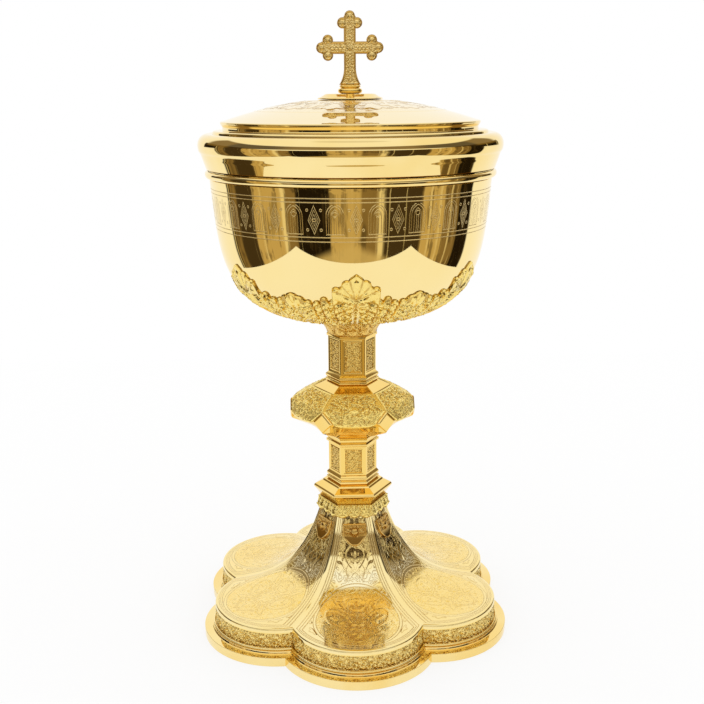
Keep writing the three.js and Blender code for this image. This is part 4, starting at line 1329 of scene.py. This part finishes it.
def build_capital():
    """The plate on top of the stem and the leaves that spread from it to the calyx."""
    low, high = levels("capital")
    bore = 8.4
    plate_profile = [(bore, low), (12.6, low), (12.6, low + 1.15), (12.0, low + 1.5), (bore, low + 1.5)]
    base = hooped("capital_plate", hex_rings(eased(plate_profile, 0.2, closed=True)), sharp=40)
    dressed(base, "base", "gilt_cast", STEM_POLISH, "capital")
    foliage = [(11.7, low + 1.5), (12.0, low + 3.2), (13.2, low + 5.4), (14.5, low + 7.0), (14.7, high - 0.1)]
    leaf_band("capital_leaves", "capital", CAPITAL_GOLD, foliage, 12, 0.8, 432)


def build_foot_collar():
    """The collar of hanging leaves round the top of the cone."""
    low, high = levels("foot_collar")
    profile = [(18.7, low - 0.4), (18.5, low + 1.2), (17.8, low + 3.4), (17.4, high - 0.1)]
    leaf_band("foot_collar_leaves", "foot_collar", LEAFY, profile, 18, 0.6, 540, 1.3, 1.0)


def build_shields():
    """A small shield with a round boss and two sprigs at the top of each cone panel."""
    u = np.linspace(0.55, 1, 80)
    out, _, z = shell_surface(u, 0.0)
    at, _ = follow(np.stack([out, z], axis=1))
    low_z = levels("foot_shield_1")[0]
    foot = np.interp(low_z, z, np.concatenate([[0], np.cumsum(np.hypot(np.diff(out), np.diff(z)))])) + 1.2
    art = Relief(7, 14, 0.07)
    art.boss(0, 7.6, 1.8, 1.0)
    art.hoop(0, 7.6, 2.4, 0.22, 0.6)
    for way, size in ((1.1, 3.8), (1.7, 3.6)):
        art.leaf((1.8, 7.8), way, size, 0.75, 0.7)
    art.leaf((0, 9.8), 0, 2.0, 0.8, 0.7)
    art.leaf((1.2, 9.4), 0.7, 2.6, 0.6, 0.6)

    def outline(x, y):
        low = y - 0.2
        taper = 6.0 * ramp(low, 5.6) ** 0.5
        return np.maximum.reduce([np.abs(x) - np.where(y < 5.6, taper, 6.0), y - 11.6, -low])

    def heights(x, y):
        off = -outline(x, y)
        rim = 0.3 * np.exp(-(((off - 0.4) / 0.24) ** 2))
        carved = art.at(x, y) * ramp(off - 0.7, 0.3)
        plain = (y < 5.4) & (carved < 0.05)
        return 0.9 + rim + carved, np.full(x.shape, 0.15), np.where((off < 0.7) | plain, 2.0, carved)

    def place(x, y, h):
        o, level, n_out, n_z = at(foot + y)
        return x, -(o + h * n_out), level + h * n_z

    names = ("foot_boss_shield", "foot_shield")
    six_plates(names, "gilt_cast", SHIELD_GOLD, outline, heights, place, 6.4, 0, 11.8, 0.24)


# Cup

CUP_BOTTOM = levels("cup_socket")[1]
CUP_RIM = levels("cup_bowl")[1]
CUP_R = 67
CUP_WALL = 1.2
BELLY_TOP = CUP_RIM + 15


def cup_radius(z):
    """The bowl's outer radius at a height: a full belly, a little narrower from the rim down."""
    depth = (BELLY_TOP - z) / (BELLY_TOP - CUP_BOTTOM)
    return CUP_R * np.clip(1 - depth**5.9, 0, 1) ** (1 / 2.37) * (1 - 0.0013 * (CUP_RIM - z))


def cup_profile(count):
    """The bowl's outside from the axis to its rim, closer together where it turns."""
    z = CUP_BOTTOM + 0.02 + (CUP_RIM - 0.5 - CUP_BOTTOM) * np.linspace(0, 1, count) ** 2.2
    r = cup_radius(z)
    return np.concatenate([[[0.5 * r[0], CUP_BOTTOM]], np.stack([r, z], axis=1)])


BAND_LINES = (CUP_RIM - 22.7, CUP_RIM - 20.8, CUP_RIM - 6.0, CUP_RIM - 4.3)


def cup_gold():
    """Mirror gilding with an engraved frieze between double lines: pointed arches, lozenges and
    ringed dots."""
    material, shop = new_material("cup_gold")
    place = shop.place()
    x, y, z = shop.parts(place)
    count = 46
    width = TAU * 65.8 / count
    turn = x.atan2(y * -1.0) * (count / TAU)
    cell = turn + 0.5
    number = cell.maths("FLOOR")
    across = (cell - number - 0.5) * width
    level = z * 1000
    up = level - (BAND_LINES[1] + BAND_LINES[2]) / 2
    arched = ((number * 0.5 + 0.25) % 1.0).over(0.5)
    half = abs(across)

    def cut(distance, wide):
        return 1 - abs(distance).rise(wide * 0.4, wide)

    tall = 1 - abs(up).rise(6.3, 6.4)
    arch = ((half + 1.8) ** 2 + (up - 1.6).most(0) ** 2).sqrt() - 5.6
    bars = cut(arch, 0.19).most(cut(arch + 0.9, 0.14)).most(cut(arch + 2.2, 0.14))
    stem = cut(half - 0.45, 0.14) * (1 - abs(up + 2.4).rise(3.4, 3.6))
    bloom = cut((half**2 + (up - 2.4) ** 2).sqrt() - 0.95, 0.17)
    sill = cut(up + 6.1, 0.17) * (1 - half.rise(3.9, 4.0))
    bars = (bars.most(stem).most(bloom) * tall).most(sill)
    gem = half * 1.6 + abs(up) * 0.68 - 4.1
    gems = cut(gem, 0.24).most(cut(gem + 1.2, 0.2)).most(cut(gem + 2.4, 0.2))
    gems = gems.most(cut((half**2 + up**2).sqrt() - 0.6, 0.2))
    dots = ((half - 3.0) ** 2 + (abs(up) - 4.2) ** 2).sqrt() - 0.5
    gems = gems.most(cut(dots, 0.17))
    motif = arched * bars + (1 - arched) * gems
    lines = cut(level - BAND_LINES[0], 0.19)
    for line in BAND_LINES[1:]:
        lines = lines.most(cut(level - line, 0.19))
    engraved = lines.most(motif * 0.9) * shop.attribute("outside")
    bloom, wiping, waves = shop.polish(place, 45)
    gold = shop.mixed(bloom, PALE_GOLD, (0.97, 0.77, 0.34))
    shop.metal(
        "cup",
        {
            "Base Color": shop.mixed(engraved * 0.8, gold, (0.72, 0.48, 0.15)),
            "Roughness": wiping * 0.03 + engraved * 0.36 + 0.015,
            "Normal": shop.bump(waves * 0.25 + (1 - engraved), 0.5, 0.0002),
        },
    )
    return material


def build_cup():
    """The mirror-polished bowl. The mark keeps the engraving on its outside."""
    columns = 240
    outer = cup_profile(70)
    rim = [(66.95, CUP_RIM - 0.25), (66.6, CUP_RIM - 0.02), (66.2, CUP_RIM - 0.02), (65.85, CUP_RIM - 0.25)]
    inner = moved_in(outer, CUP_WALL)[::-1]
    inner = inner[inner[:, 1] < CUP_RIM - 0.7]
    profile = np.concatenate([outer, rim, inner])
    outside = np.zeros((len(profile), columns))
    outside[: len(outer)] = 1
    rings = turned_rings(profile, columns)
    bowl = capped("cup_mirror_bowl", rings, CUP_BOTTOM, CUP_BOTTOM + CUP_WALL, {"outside": outside}, 50)
    dressed(bowl, "base", "gilt_polished", cup_gold(), "cup_bowl")


CALYX_LOBES = (
    (0.0, 71.2, 3.5), (3.9, 70.3, 2.3), (5.6, 66.6, 3.0), (8.8, 67.4, 1.8),
    (7.2, 64.0, 1.9), (3.0, 64.6, 4.8), (10.6, 60.0, 2.0), (14.6, 61.4, 2.0),
    (18.4, 58.8, 2.0), (22.6, 59.0, 2.1), (26.6, 60.6, 2.6), (30.2, 61.2, 3.6),
)


def calyx_edge(across):
    """Where the calyx ends, along the bowl's curve, at a place across one of its sides."""
    x = np.abs(across)
    edge = np.full(x.shape, 57.6)
    for cx, cy, r in CALYX_LOBES:
        inside = r**2 - (x - cx) ** 2
        edge = np.maximum(edge, np.where(inside > 0, cy + np.sqrt(np.maximum(inside, 0)), 0))
    return edge + 0.9 * np.clip(1 - x / 1.6, 0, 1)


def calyx_relief():
    """The foliage of one side of the calyx, over the bowl's curve: a palmette on a double stalk,
    with curled leaves that fill the space to the next one."""
    art = Relief(33, 80, 0.11)
    lift = 1.0
    art.line([(1.1, 16), (1.0, 40), (1.3, 60)], (0.5, 0.5), lift)
    art.leaf((0, 61.6), 0, 11.4, 3.2, lift, vein=0.35)
    art.leaf((0.5, 61.6), 0.56, 10.2, 1.5, lift, vein=0.35)
    art.leaf((0.6, 61.5), 0.94, 9.8, 1.5, lift, vein=0.35)
    art.leaf((0.8, 61.2), 1.3, 8.8, 1.15, lift, vein=0.35)
    reach = np.hypot(art.x, art.y - 61.6)
    way = np.arctan2(np.abs(art.x), art.y - 61.6)
    fan = (np.abs(art.x) < 11) & (art.y > 60.9) & (reach < 17)
    art.lift[fan] = np.maximum(art.lift[fan], 0.5 * lift)
    for between in (0.27, 0.66, 1.04):
        groove = np.clip(np.abs(way - between) * reach / 1.0, 0.0, 1) ** 1.4
        art.lift[fan] *= groove[fan]
    art.line([(0, 60.9), (3.4, 60.9), (6.8, 61.8), (8.6, 63.4)], (0.42, 0.3), lift)
    for x, y, r in ((4.3, 71.2, 0.75), (7.0, 69.0, 0.6), (9.6, 67.6, 0.95)):
        art.boss(x, y, r, lift)
    for x, y, r, start, hand in (
        (6.0, 56.8, 2.7, -1.2, 1),
        (13.8, 58.4, 2.5, 0.4, -1),
        (19.4, 56.0, 2.3, -1.0, 1),
        (24.6, 55.4, 2.1, 0.8, -1),
        (11.4, 51.0, 2.9, 1.4, -1),
        (18.2, 49.8, 2.6, -0.6, 1),
        (5.2, 49.2, 2.6, 0.6, 1),
        (10.8, 43.4, 2.6, -1.2, -1),
        (4.6, 41.0, 2.3, 0.3, 1),
        (16.4, 43.2, 2.4, 0.9, 1),
        (22.0, 48.6, 2.0, 0.2, -1),
        (8.4, 36.4, 2.2, -0.8, 1),
        (4.0, 33.2, 1.8, 0.3, -1),
        (13.2, 37.2, 1.9, 0.5, -1),
        (3.6, 26.8, 1.6, 0.3, 1),
        (9.6, 29.6, 1.6, 0.5, 1),
    ):
        art.volute(x, y, r, start, 1.2, hand, 0.38, lift)
    for x, y, way, size in (
        (9.4, 59.6, 0.6, 2.6),
        (12.0, 61.0, -0.5, 2.0),
        (17.4, 58.8, 0.6, 2.6),
        (21.8, 58.2, 0.1, 2.6),
        (15.6, 54.0, 0.8, 2.8),
        (22.0, 53.0, 0.9, 2.4),
        (8.2, 53.2, 0.9, 2.4),
        (14.4, 47.2, 0.9, 2.4),
        (2.6, 53.4, 0.6, 2.4),
        (2.4, 45.0, 0.7, 2.2),
        (7.6, 39.8, 0.8, 2.2),
        (20.2, 45.2, 0.9, 2.2),
    ):
        art.trefoil((x, y), way, size, lift)
    for k in range(14):
        art.boss(24.6 - k * 1.15, 52.4 - k * 2.9, 0.6, lift)
    art.leaf((26.4, 55.6), 0.12, 7.0, 1.6, lift, vein=0.4)
    art.leaf((30.2, 55.4), 0, 8.8, 1.8, lift, vein=0.4)
    art.leaf((30.2, 47.4), 0, 7.4, 1.3, lift, vein=0.35)
    for y in (52.5, 46, 42, 38):
        art.boss(min(29.8, y * 0.53), y, 0.7, lift)
    palmette = art.lift.copy()
    art.strew(1.15, 0.6, lift * 0.6)
    above = art.y > 58.6
    art.lift[above] = palmette[above]
    return art, lift


def build_calyx():
    """The cast cup holder, laid on the bowl: foliage up to a leafy edge with a thin lip."""
    columns, rows = 780, 112
    angle = np.arange(columns) * TAU / columns
    side = (angle + CORNER) % (2 * CORNER) - CORNER
    path = cup_profile(160)
    path[0, 0] = 0
    at, _ = follow(path)
    art, lift = calyx_relief()
    edge = calyx_edge(side * 57.6)
    start = 8.0
    share = np.linspace(0, 1, rows)[:, None] ** 0.72
    s = start + (edge - start) * share
    out, z, n_out, n_z = at(s)
    carved = art.at(np.abs(side) * np.maximum(out, s * 0.9), s)
    from_edge = edge - s
    lip = 0.75 * np.exp(-(((from_edge - 0.45) / 0.26) ** 2))
    sheet = 0.3 + 0.3 * ramp(62 - s, 20)
    body = sheet + np.maximum(carved, lip) * ramp(from_edge, 0.2)
    height = body * np.clip(from_edge / 0.08 + 0.15, 0, 1)
    ring_zone = ramp(15.4 - s, 0.4)
    height = height * (1 - ring_zone) + 1.35 * ring_zone
    turn = FRONT + angle

    def laid(h):
        return around(out + h * n_out, turn, z + h * n_z)

    front = laid(height + 0.02)
    back = laid(np.full(height.shape, 0.02))[::-1][:: rows // 8]
    shade = np.where(ring_zone > 0.5, 2.0, np.clip(np.maximum(carved, lip) / lift, 0, 1))
    # painted shade: a relief of 3 draws a dark shadow line along the calyx's edge
    shade = np.where(from_edge < 0.12, 3.0, shade)
    calyx = hooped("calyx_foliage", np.concatenate([front, back]), backed(shade, len(back)), 60)
    dressed(calyx, "base", "gilt_cast", LEAFY, "calyx")


# Lid

LID_EDGE, LID_TOP = levels("lid_shell")
DOME_FOOT = LID_EDGE + 21.7
DOME_R = 60.2
LID_WALL = 1.2
CHASING_LIFT = 0.3


def dome_height(r):
    """The height of the low dome at a distance from the axis."""
    return LID_TOP - 10.1 * (r / DOME_R) ** 2.07


def sloped(radius, slopes):
    """A profile that starts at a radius and leans in as it goes down, by slopes in degrees that
    are given by height. It is returned from its foot up."""
    step = 0.25
    heights, leans = np.array(slopes).T
    z = np.arange(heights[0], heights[-1], -step)
    lean = np.tan(np.radians(np.interp(-z, -heights, leans)))
    steps = (lean[1:] + lean[:-1]) / 2 * step
    return np.stack([radius - np.concatenate([[0], np.cumsum(steps)]), z], axis=1)[::-1]


def lid_profile():
    """The lid's outside, from its lower edge to its crown."""
    z = LID_EDGE
    shoulder = z + 14.65
    step = DOME_FOOT
    slopes = (
        (shoulder, 0),
        (shoulder - 1.1, 9),
        (shoulder - 2.2, 17),
        (shoulder - 2.55, 34),
        (shoulder - 3.1, 38),
        (shoulder - 3.5, 30),
        (shoulder - 3.8, 18.8),
        (shoulder - 5.0, 18.8),
        (shoulder - 5.6, 15.3),
        (shoulder - 6.2, 18.8),
        (z + 4.0, 18.8),
    )
    band = sloped(71.9, slopes)
    rise = ((71.9, 0), (71.85, 1.0), (71.45, 2.5), (70.5, 4.0), (69.2, 4.95), (67.9, 5.4), (66.4, 5.5))
    top = flowing([(r, shoulder + up) for r, up in rise], 6)[1:]
    steps = [
        (65.4, shoulder + 5.25),
        (64.85, shoulder + 5.2),
        (64.75, step - 1.0),
        (64.55, step - 0.6),
        (63.9, step - 0.27),
        (62.0, step - 0.1),
        (60.4, step),
        (60.15, step + 0.15),
        (60.15, step + 1.4),
        (60.45, step + 1.8),
        (60.85, step + 2.3),
        (61.05, step + 2.8),
        (61.1, step + 3.27),
        (61.0, step + 3.55),
        (60.6, step + 3.85),
        (59.9, step + 4.0),
    ]
    r = np.concatenate([np.linspace(58.5, 46.6, 8), np.linspace(46, 17, 58), np.linspace(16, 2.3, 6)])
    dome = np.stack([r, dome_height(r)], axis=1)
    edge = [(67.4, z), (67.4, z + 3.5)]
    return np.concatenate([edge, band, top, eased(steps, 0.12), dome])


def dome_foliage(width, length):
    """One of twelve repeats of the leafy ring chased on the dome."""
    tile = Relief(width / 2, length, 0.1)
    lift = CHASING_LIFT
    for y in (0.5, length - 0.5):
        tile.line([(-width, y), (width, y)], (0.28, 0.28), lift, both=False)
    tile.line([(0, 1), (0, length * 0.45)], (0.4, 0.3), lift, both=False)
    tile.trefoil((0, length * 0.42), 0, length * 0.34, lift, both=False)
    tile.volute(width * 0.24, length * 0.4, width * 0.16, -1.0, 1.4, 1, 0.34, lift)
    tile.volute(width * 0.2, length * 0.72, width * 0.11, 1.0, 1.3, -1, 0.3, lift)
    tile.trefoil((width * 0.4, length * 0.62), 0.3, length * 0.24, lift)
    tile.trefoil((width * 0.42, length * 0.16), 0.2, length * 0.2, lift)
    tile.boss(width * 0.12, length * 0.18, 0.7, lift)
    return tile


def build_lid():
    """The dome, its steps, shoulder and band in one shell, with a leafy ring chased on the dome."""
    profile = lid_profile()
    columns, repeats, low, high = 384, 12, 20.0, 45.5
    rings = turned_rings(profile, columns)
    width = TAU * 33 / repeats
    tile = dome_foliage(width, high - low)
    angle = np.arange(columns) * TAU / columns
    local = ((angle * repeats / TAU + 0.5) % 1 - 0.5) * width
    radius = profile[:, 0]
    on_dome = (radius > low) & (radius < high) & (profile[:, 1] > DOME_FOOT + 4)
    lift = tile.at(*np.meshgrid(local, radius - low)) * on_dome[:, None]
    rings[..., 2] += lift * 0.6
    skin = eased(
        [
            (66.2, LID_EDGE),
            (66.2, LID_EDGE + 4),
            (70.4, LID_EDGE + 16),
            (66, LID_EDGE + 19.4),
            (59.0, DOME_FOOT - 1.3),
            (58.6, DOME_FOOT + 2.4),
        ],
        LID_WALL,
    )[::-1]
    r = np.linspace(2.3, 57, 14)
    under = np.concatenate([np.stack([r, dome_height(r) - LID_WALL], axis=1), skin])
    inner = turned_rings(under, columns)
    marks = backed(lift / CHASING_LIFT, len(inner))
    lid = hooped("lid_dome_and_band", np.concatenate([rings, inner]), marks, 35)
    dressed(lid, "lid", "gilt_polished", lid_gold(), "lid_shell")


def lid_gold():
    """Mirror gilding, painted paler on the dome as a sheen of reflected light, and browner in the hollows of
    the chased ring.
    """
    material, shop = new_material("lid_gold")
    place = shop.place()
    x, y, z = shop.parts(place)
    height = shop.attribute("relief")
    radius = (x * x + y * y).sqrt() * 1000
    ring = radius.rise(20.4, 20.8) * (1 - radius.rise(44.6, 45.0))
    dome = (z * 1000).rise(DOME_FOOT + 3.4, DOME_FOOT + 4.2)
    veins = 1 - abs(height - 0.5).rise(0.1, 0.4)
    bloom, wiping, waves = shop.polish(place, 45)
    band = shop.mixed(bloom, PALE_GOLD, (0.94, 0.71, 0.27))
    # painted sheen: the dome's paler gold stands in for its brighter reflection
    gold = shop.mixed(dome, band, (0.98, 0.84, 0.54))
    shop.metal(
        "lid",
        {
            "Base Color": shop.mixed(ring * veins * 0.75, gold, DEEP_GOLD),
            "Roughness": wiping * 0.03 + ring * (1 - height) * 0.1 + 0.015,
            "Normal": shop.bump(waves, 0.1, 0.0004),
        },
    )
    return material


def build_lid_bead():
    """The roll at the lid's lower edge."""
    low, high = levels("lid_bead")
    turns = [math.radians(turn) for turn in np.linspace(-80, 80, 13)]
    middle = (low + high) / 2
    outer = [(67.9 + 1.15 * math.cos(turn), middle + 1.6 * math.sin(turn)) for turn in turns]
    rings = turned_rings([(67.7, low + 0.05), *outer, (67.7, high - 0.05)], 240)
    dressed(hooped("lid_roll", rings, sharp=50), "lid", "gilt_polished", POLISHED, "lid_bead")


def build_bezel():
    """The ring inside the lid, which drops into the cup's mouth."""
    low, high = levels("lid_bezel")
    profile = [(64.3, low), (64.6, low), (65.2, low + 2), (65.2, LID_EDGE)]
    profile += [(65.9, LID_EDGE), (65.9, high), (64.3, high)]
    bezel = hooped("lid_inner_ring", turned_rings(eased(profile, 0.2, closed=True), 240), sharp=50)
    dressed(bezel, "lid_seat", "gilt_polished", POLISHED, "lid_bezel")


# Finial


def build_finial():
    """The collar on the dome and the knot under the cross."""
    low, high = levels("finial_collar")
    outer = [
        (15.4, low),
        (15.2, low + 0.5),
        (13.9, low + 1.0),
        (12.6, high - 0.7),
        (11.8, high - 0.15),
        (10.8, high),
        (9.4, high - 0.1),
        (7.0, high - 0.5),
        (5.6, high - 0.1),
        (2.4, high - 0.05),
        (2.4, LID_TOP + 0.3),
        (8, dome_height(8) + 0.3),
    ]
    collar = hooped("finial_foot", turned_rings(eased(outer, 0.35, closed=True), 144), sharp=50)
    dressed(collar, "lid", "gilt_polished", POLISHED, "finial_collar")

    low, high = levels("finial_ball")
    side = [(4.2, low), (5.3, low + 0.4), (5.7, low + 1.3), (5.3, low + 2.2), (4.4, low + 2.55)]
    side += [(4.8, low + 2.9), (5.0, low + 3.3), (4.7, low + 3.7), (4.2, high)]
    profile = np.concatenate([[(2.4, low)], flowing(side, 6), [(2.4, high)]])
    knot = hooped("finial_knot", turned_rings(profile, 144), sharp=60)
    dressed(knot, "lid", "gilt_cast", STEM_POLISH, "finial_ball")


def build_cross():
    """The cross: three-lobed ends, a raised border, and a granulated field with a rosette."""
    foot, top = levels("cross")
    half, reach, lobe = 2.75, 15.6, 2.45
    arm = top - foot - reach - 0.8
    height = top - foot
    back = reach - lobe - 0.6 * lobe - 1.5

    def circle(x, y, cx, cy, r):
        return np.hypot(x - cx, y - cy) - r

    def outline(x, y):
        ax = np.abs(x)
        post = np.maximum.reduce([ax - half, -y, y - height + lobe])
        bar = np.maximum(np.abs(y - arm) - half, ax - reach + lobe)
        ends = [circle(ax, y, reach - lobe, arm, lobe)]
        ends.append(circle(ax, np.abs(y - arm), back, half + 0.6, lobe))
        ends.append(circle(ax, y, half + 0.6, height - lobe - 0.6 * lobe - 1.5, lobe))
        ends.append(circle(ax, y, 0, height - lobe, lobe))
        tip = np.maximum((ax * 0.8 + (y - height) * 0.6) + 0.1, height - 3 - y)
        flare = np.maximum.reduce([(ax - half - 2.3 * np.clip(1 - y / 8, 0, 1) ** 2.2) * 0.85, -y, y - 9])
        return np.minimum.reduce([post, bar, *ends, tip, flare])

    art = Relief(16, height, 0.06)
    art.rosette(0, arm, 1.5, 0.3, 8, both=False)
    ends = (
        (reach - lobe, arm),
        (back, arm + half + 0.6),
        (back, arm - half - 0.6),
        (half + 0.6, height - lobe - 0.6 * lobe - 1.5),
        (0, height - lobe),
    )
    for x, y in ends:
        art.boss(x, y, 1.2, 0.5)
    along = np.arange(1.5, arm - 2.2, 0.3)
    for way in (0, math.pi):
        wave = 0.75 * np.sin(along * TAU / 3.6 + way)
        art.line(np.stack([wave, along], axis=1), (0.26, 0.26), 0.3, both=False)
        reach_out = np.arange(2.2, back - 1.2, 0.3)
        wave = arm + 0.75 * np.sin(reach_out * TAU / 3.6 + way)
        art.line(np.stack([reach_out, wave], axis=1), (0.26, 0.26), 0.3)
    art.strew(0.8, 0.4, 0.1)

    def heights(x, y):
        off = -outline(x, y)
        rim = 0.3 * ramp(off - 0.3, 0.3) * (1 - ramp(off - 0.75, 0.2))
        carved = art.at(x, y) * ramp(off - 0.8, 0.15)
        face = 1.25 + rim + carved
        # painted shade: the border's relief of 3 gives it a dark shadow line
        return face, -face, np.where(off < 0.8, 3.0, 0.45 + carved)

    def place(x, y, h):
        return np.stack([x, -h, foot + y], axis=-1)

    cross = plate("cross_trefoil", outline, heights, place, reach, 0, height, 0.2, double=True)
    dressed(cross, "lid", "gilt_cast", CROSS_GOLD, "cross")


def finish_hidden():
    """The rod, screws and nuts inside keep their own shapes."""
    for node in ("tie_rod", "tie_washer", "tie_nut", "finial_screw", "finial_nut"):
        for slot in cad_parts[node].material_slots:
            slot.material = STEEL
    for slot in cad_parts["cup_socket"].material_slots:
        slot.material = CAST


build_moulding(
    "stem_ogee_plate",
    "stem_plate",
    [
        (16.8, 0),
        (17.2, 1.0),
        (18.6, 2.9),
        (19.8, 4.4),
        (20.1, 4.9),
        (20.05, 5.5),
        (19.6, 6.1),
        (18.9, 6.45),
        (15.5, 8.1),
        (15.1, 8.8),
        (14.6, 9.0),
    ],
    ease=0.15,
)
build_moulding("lower_stem_foot_ring", "lower_stem_base", stem_ring(12.8, 12.2))
build_stem("lower_stem_panels", "lower_stem", 12.2)
build_moulding("lower_stem_top_ring", "lower_stem_cap", stem_ring(12.2, 14.0))
build_knop()
build_knop_panels()
build_lozenges()
build_moulding("upper_stem_foot_ring", "upper_stem_base", stem_ring(12.7, 11.9))
build_stem("upper_stem_panels", "upper_stem", 11.9)
build_capital()
build_foot_collar()
build_shields()
build_cup()
build_calyx()
build_lid()
build_lid_bead()
build_bezel()
build_finial()
build_cross()
finish_hidden()
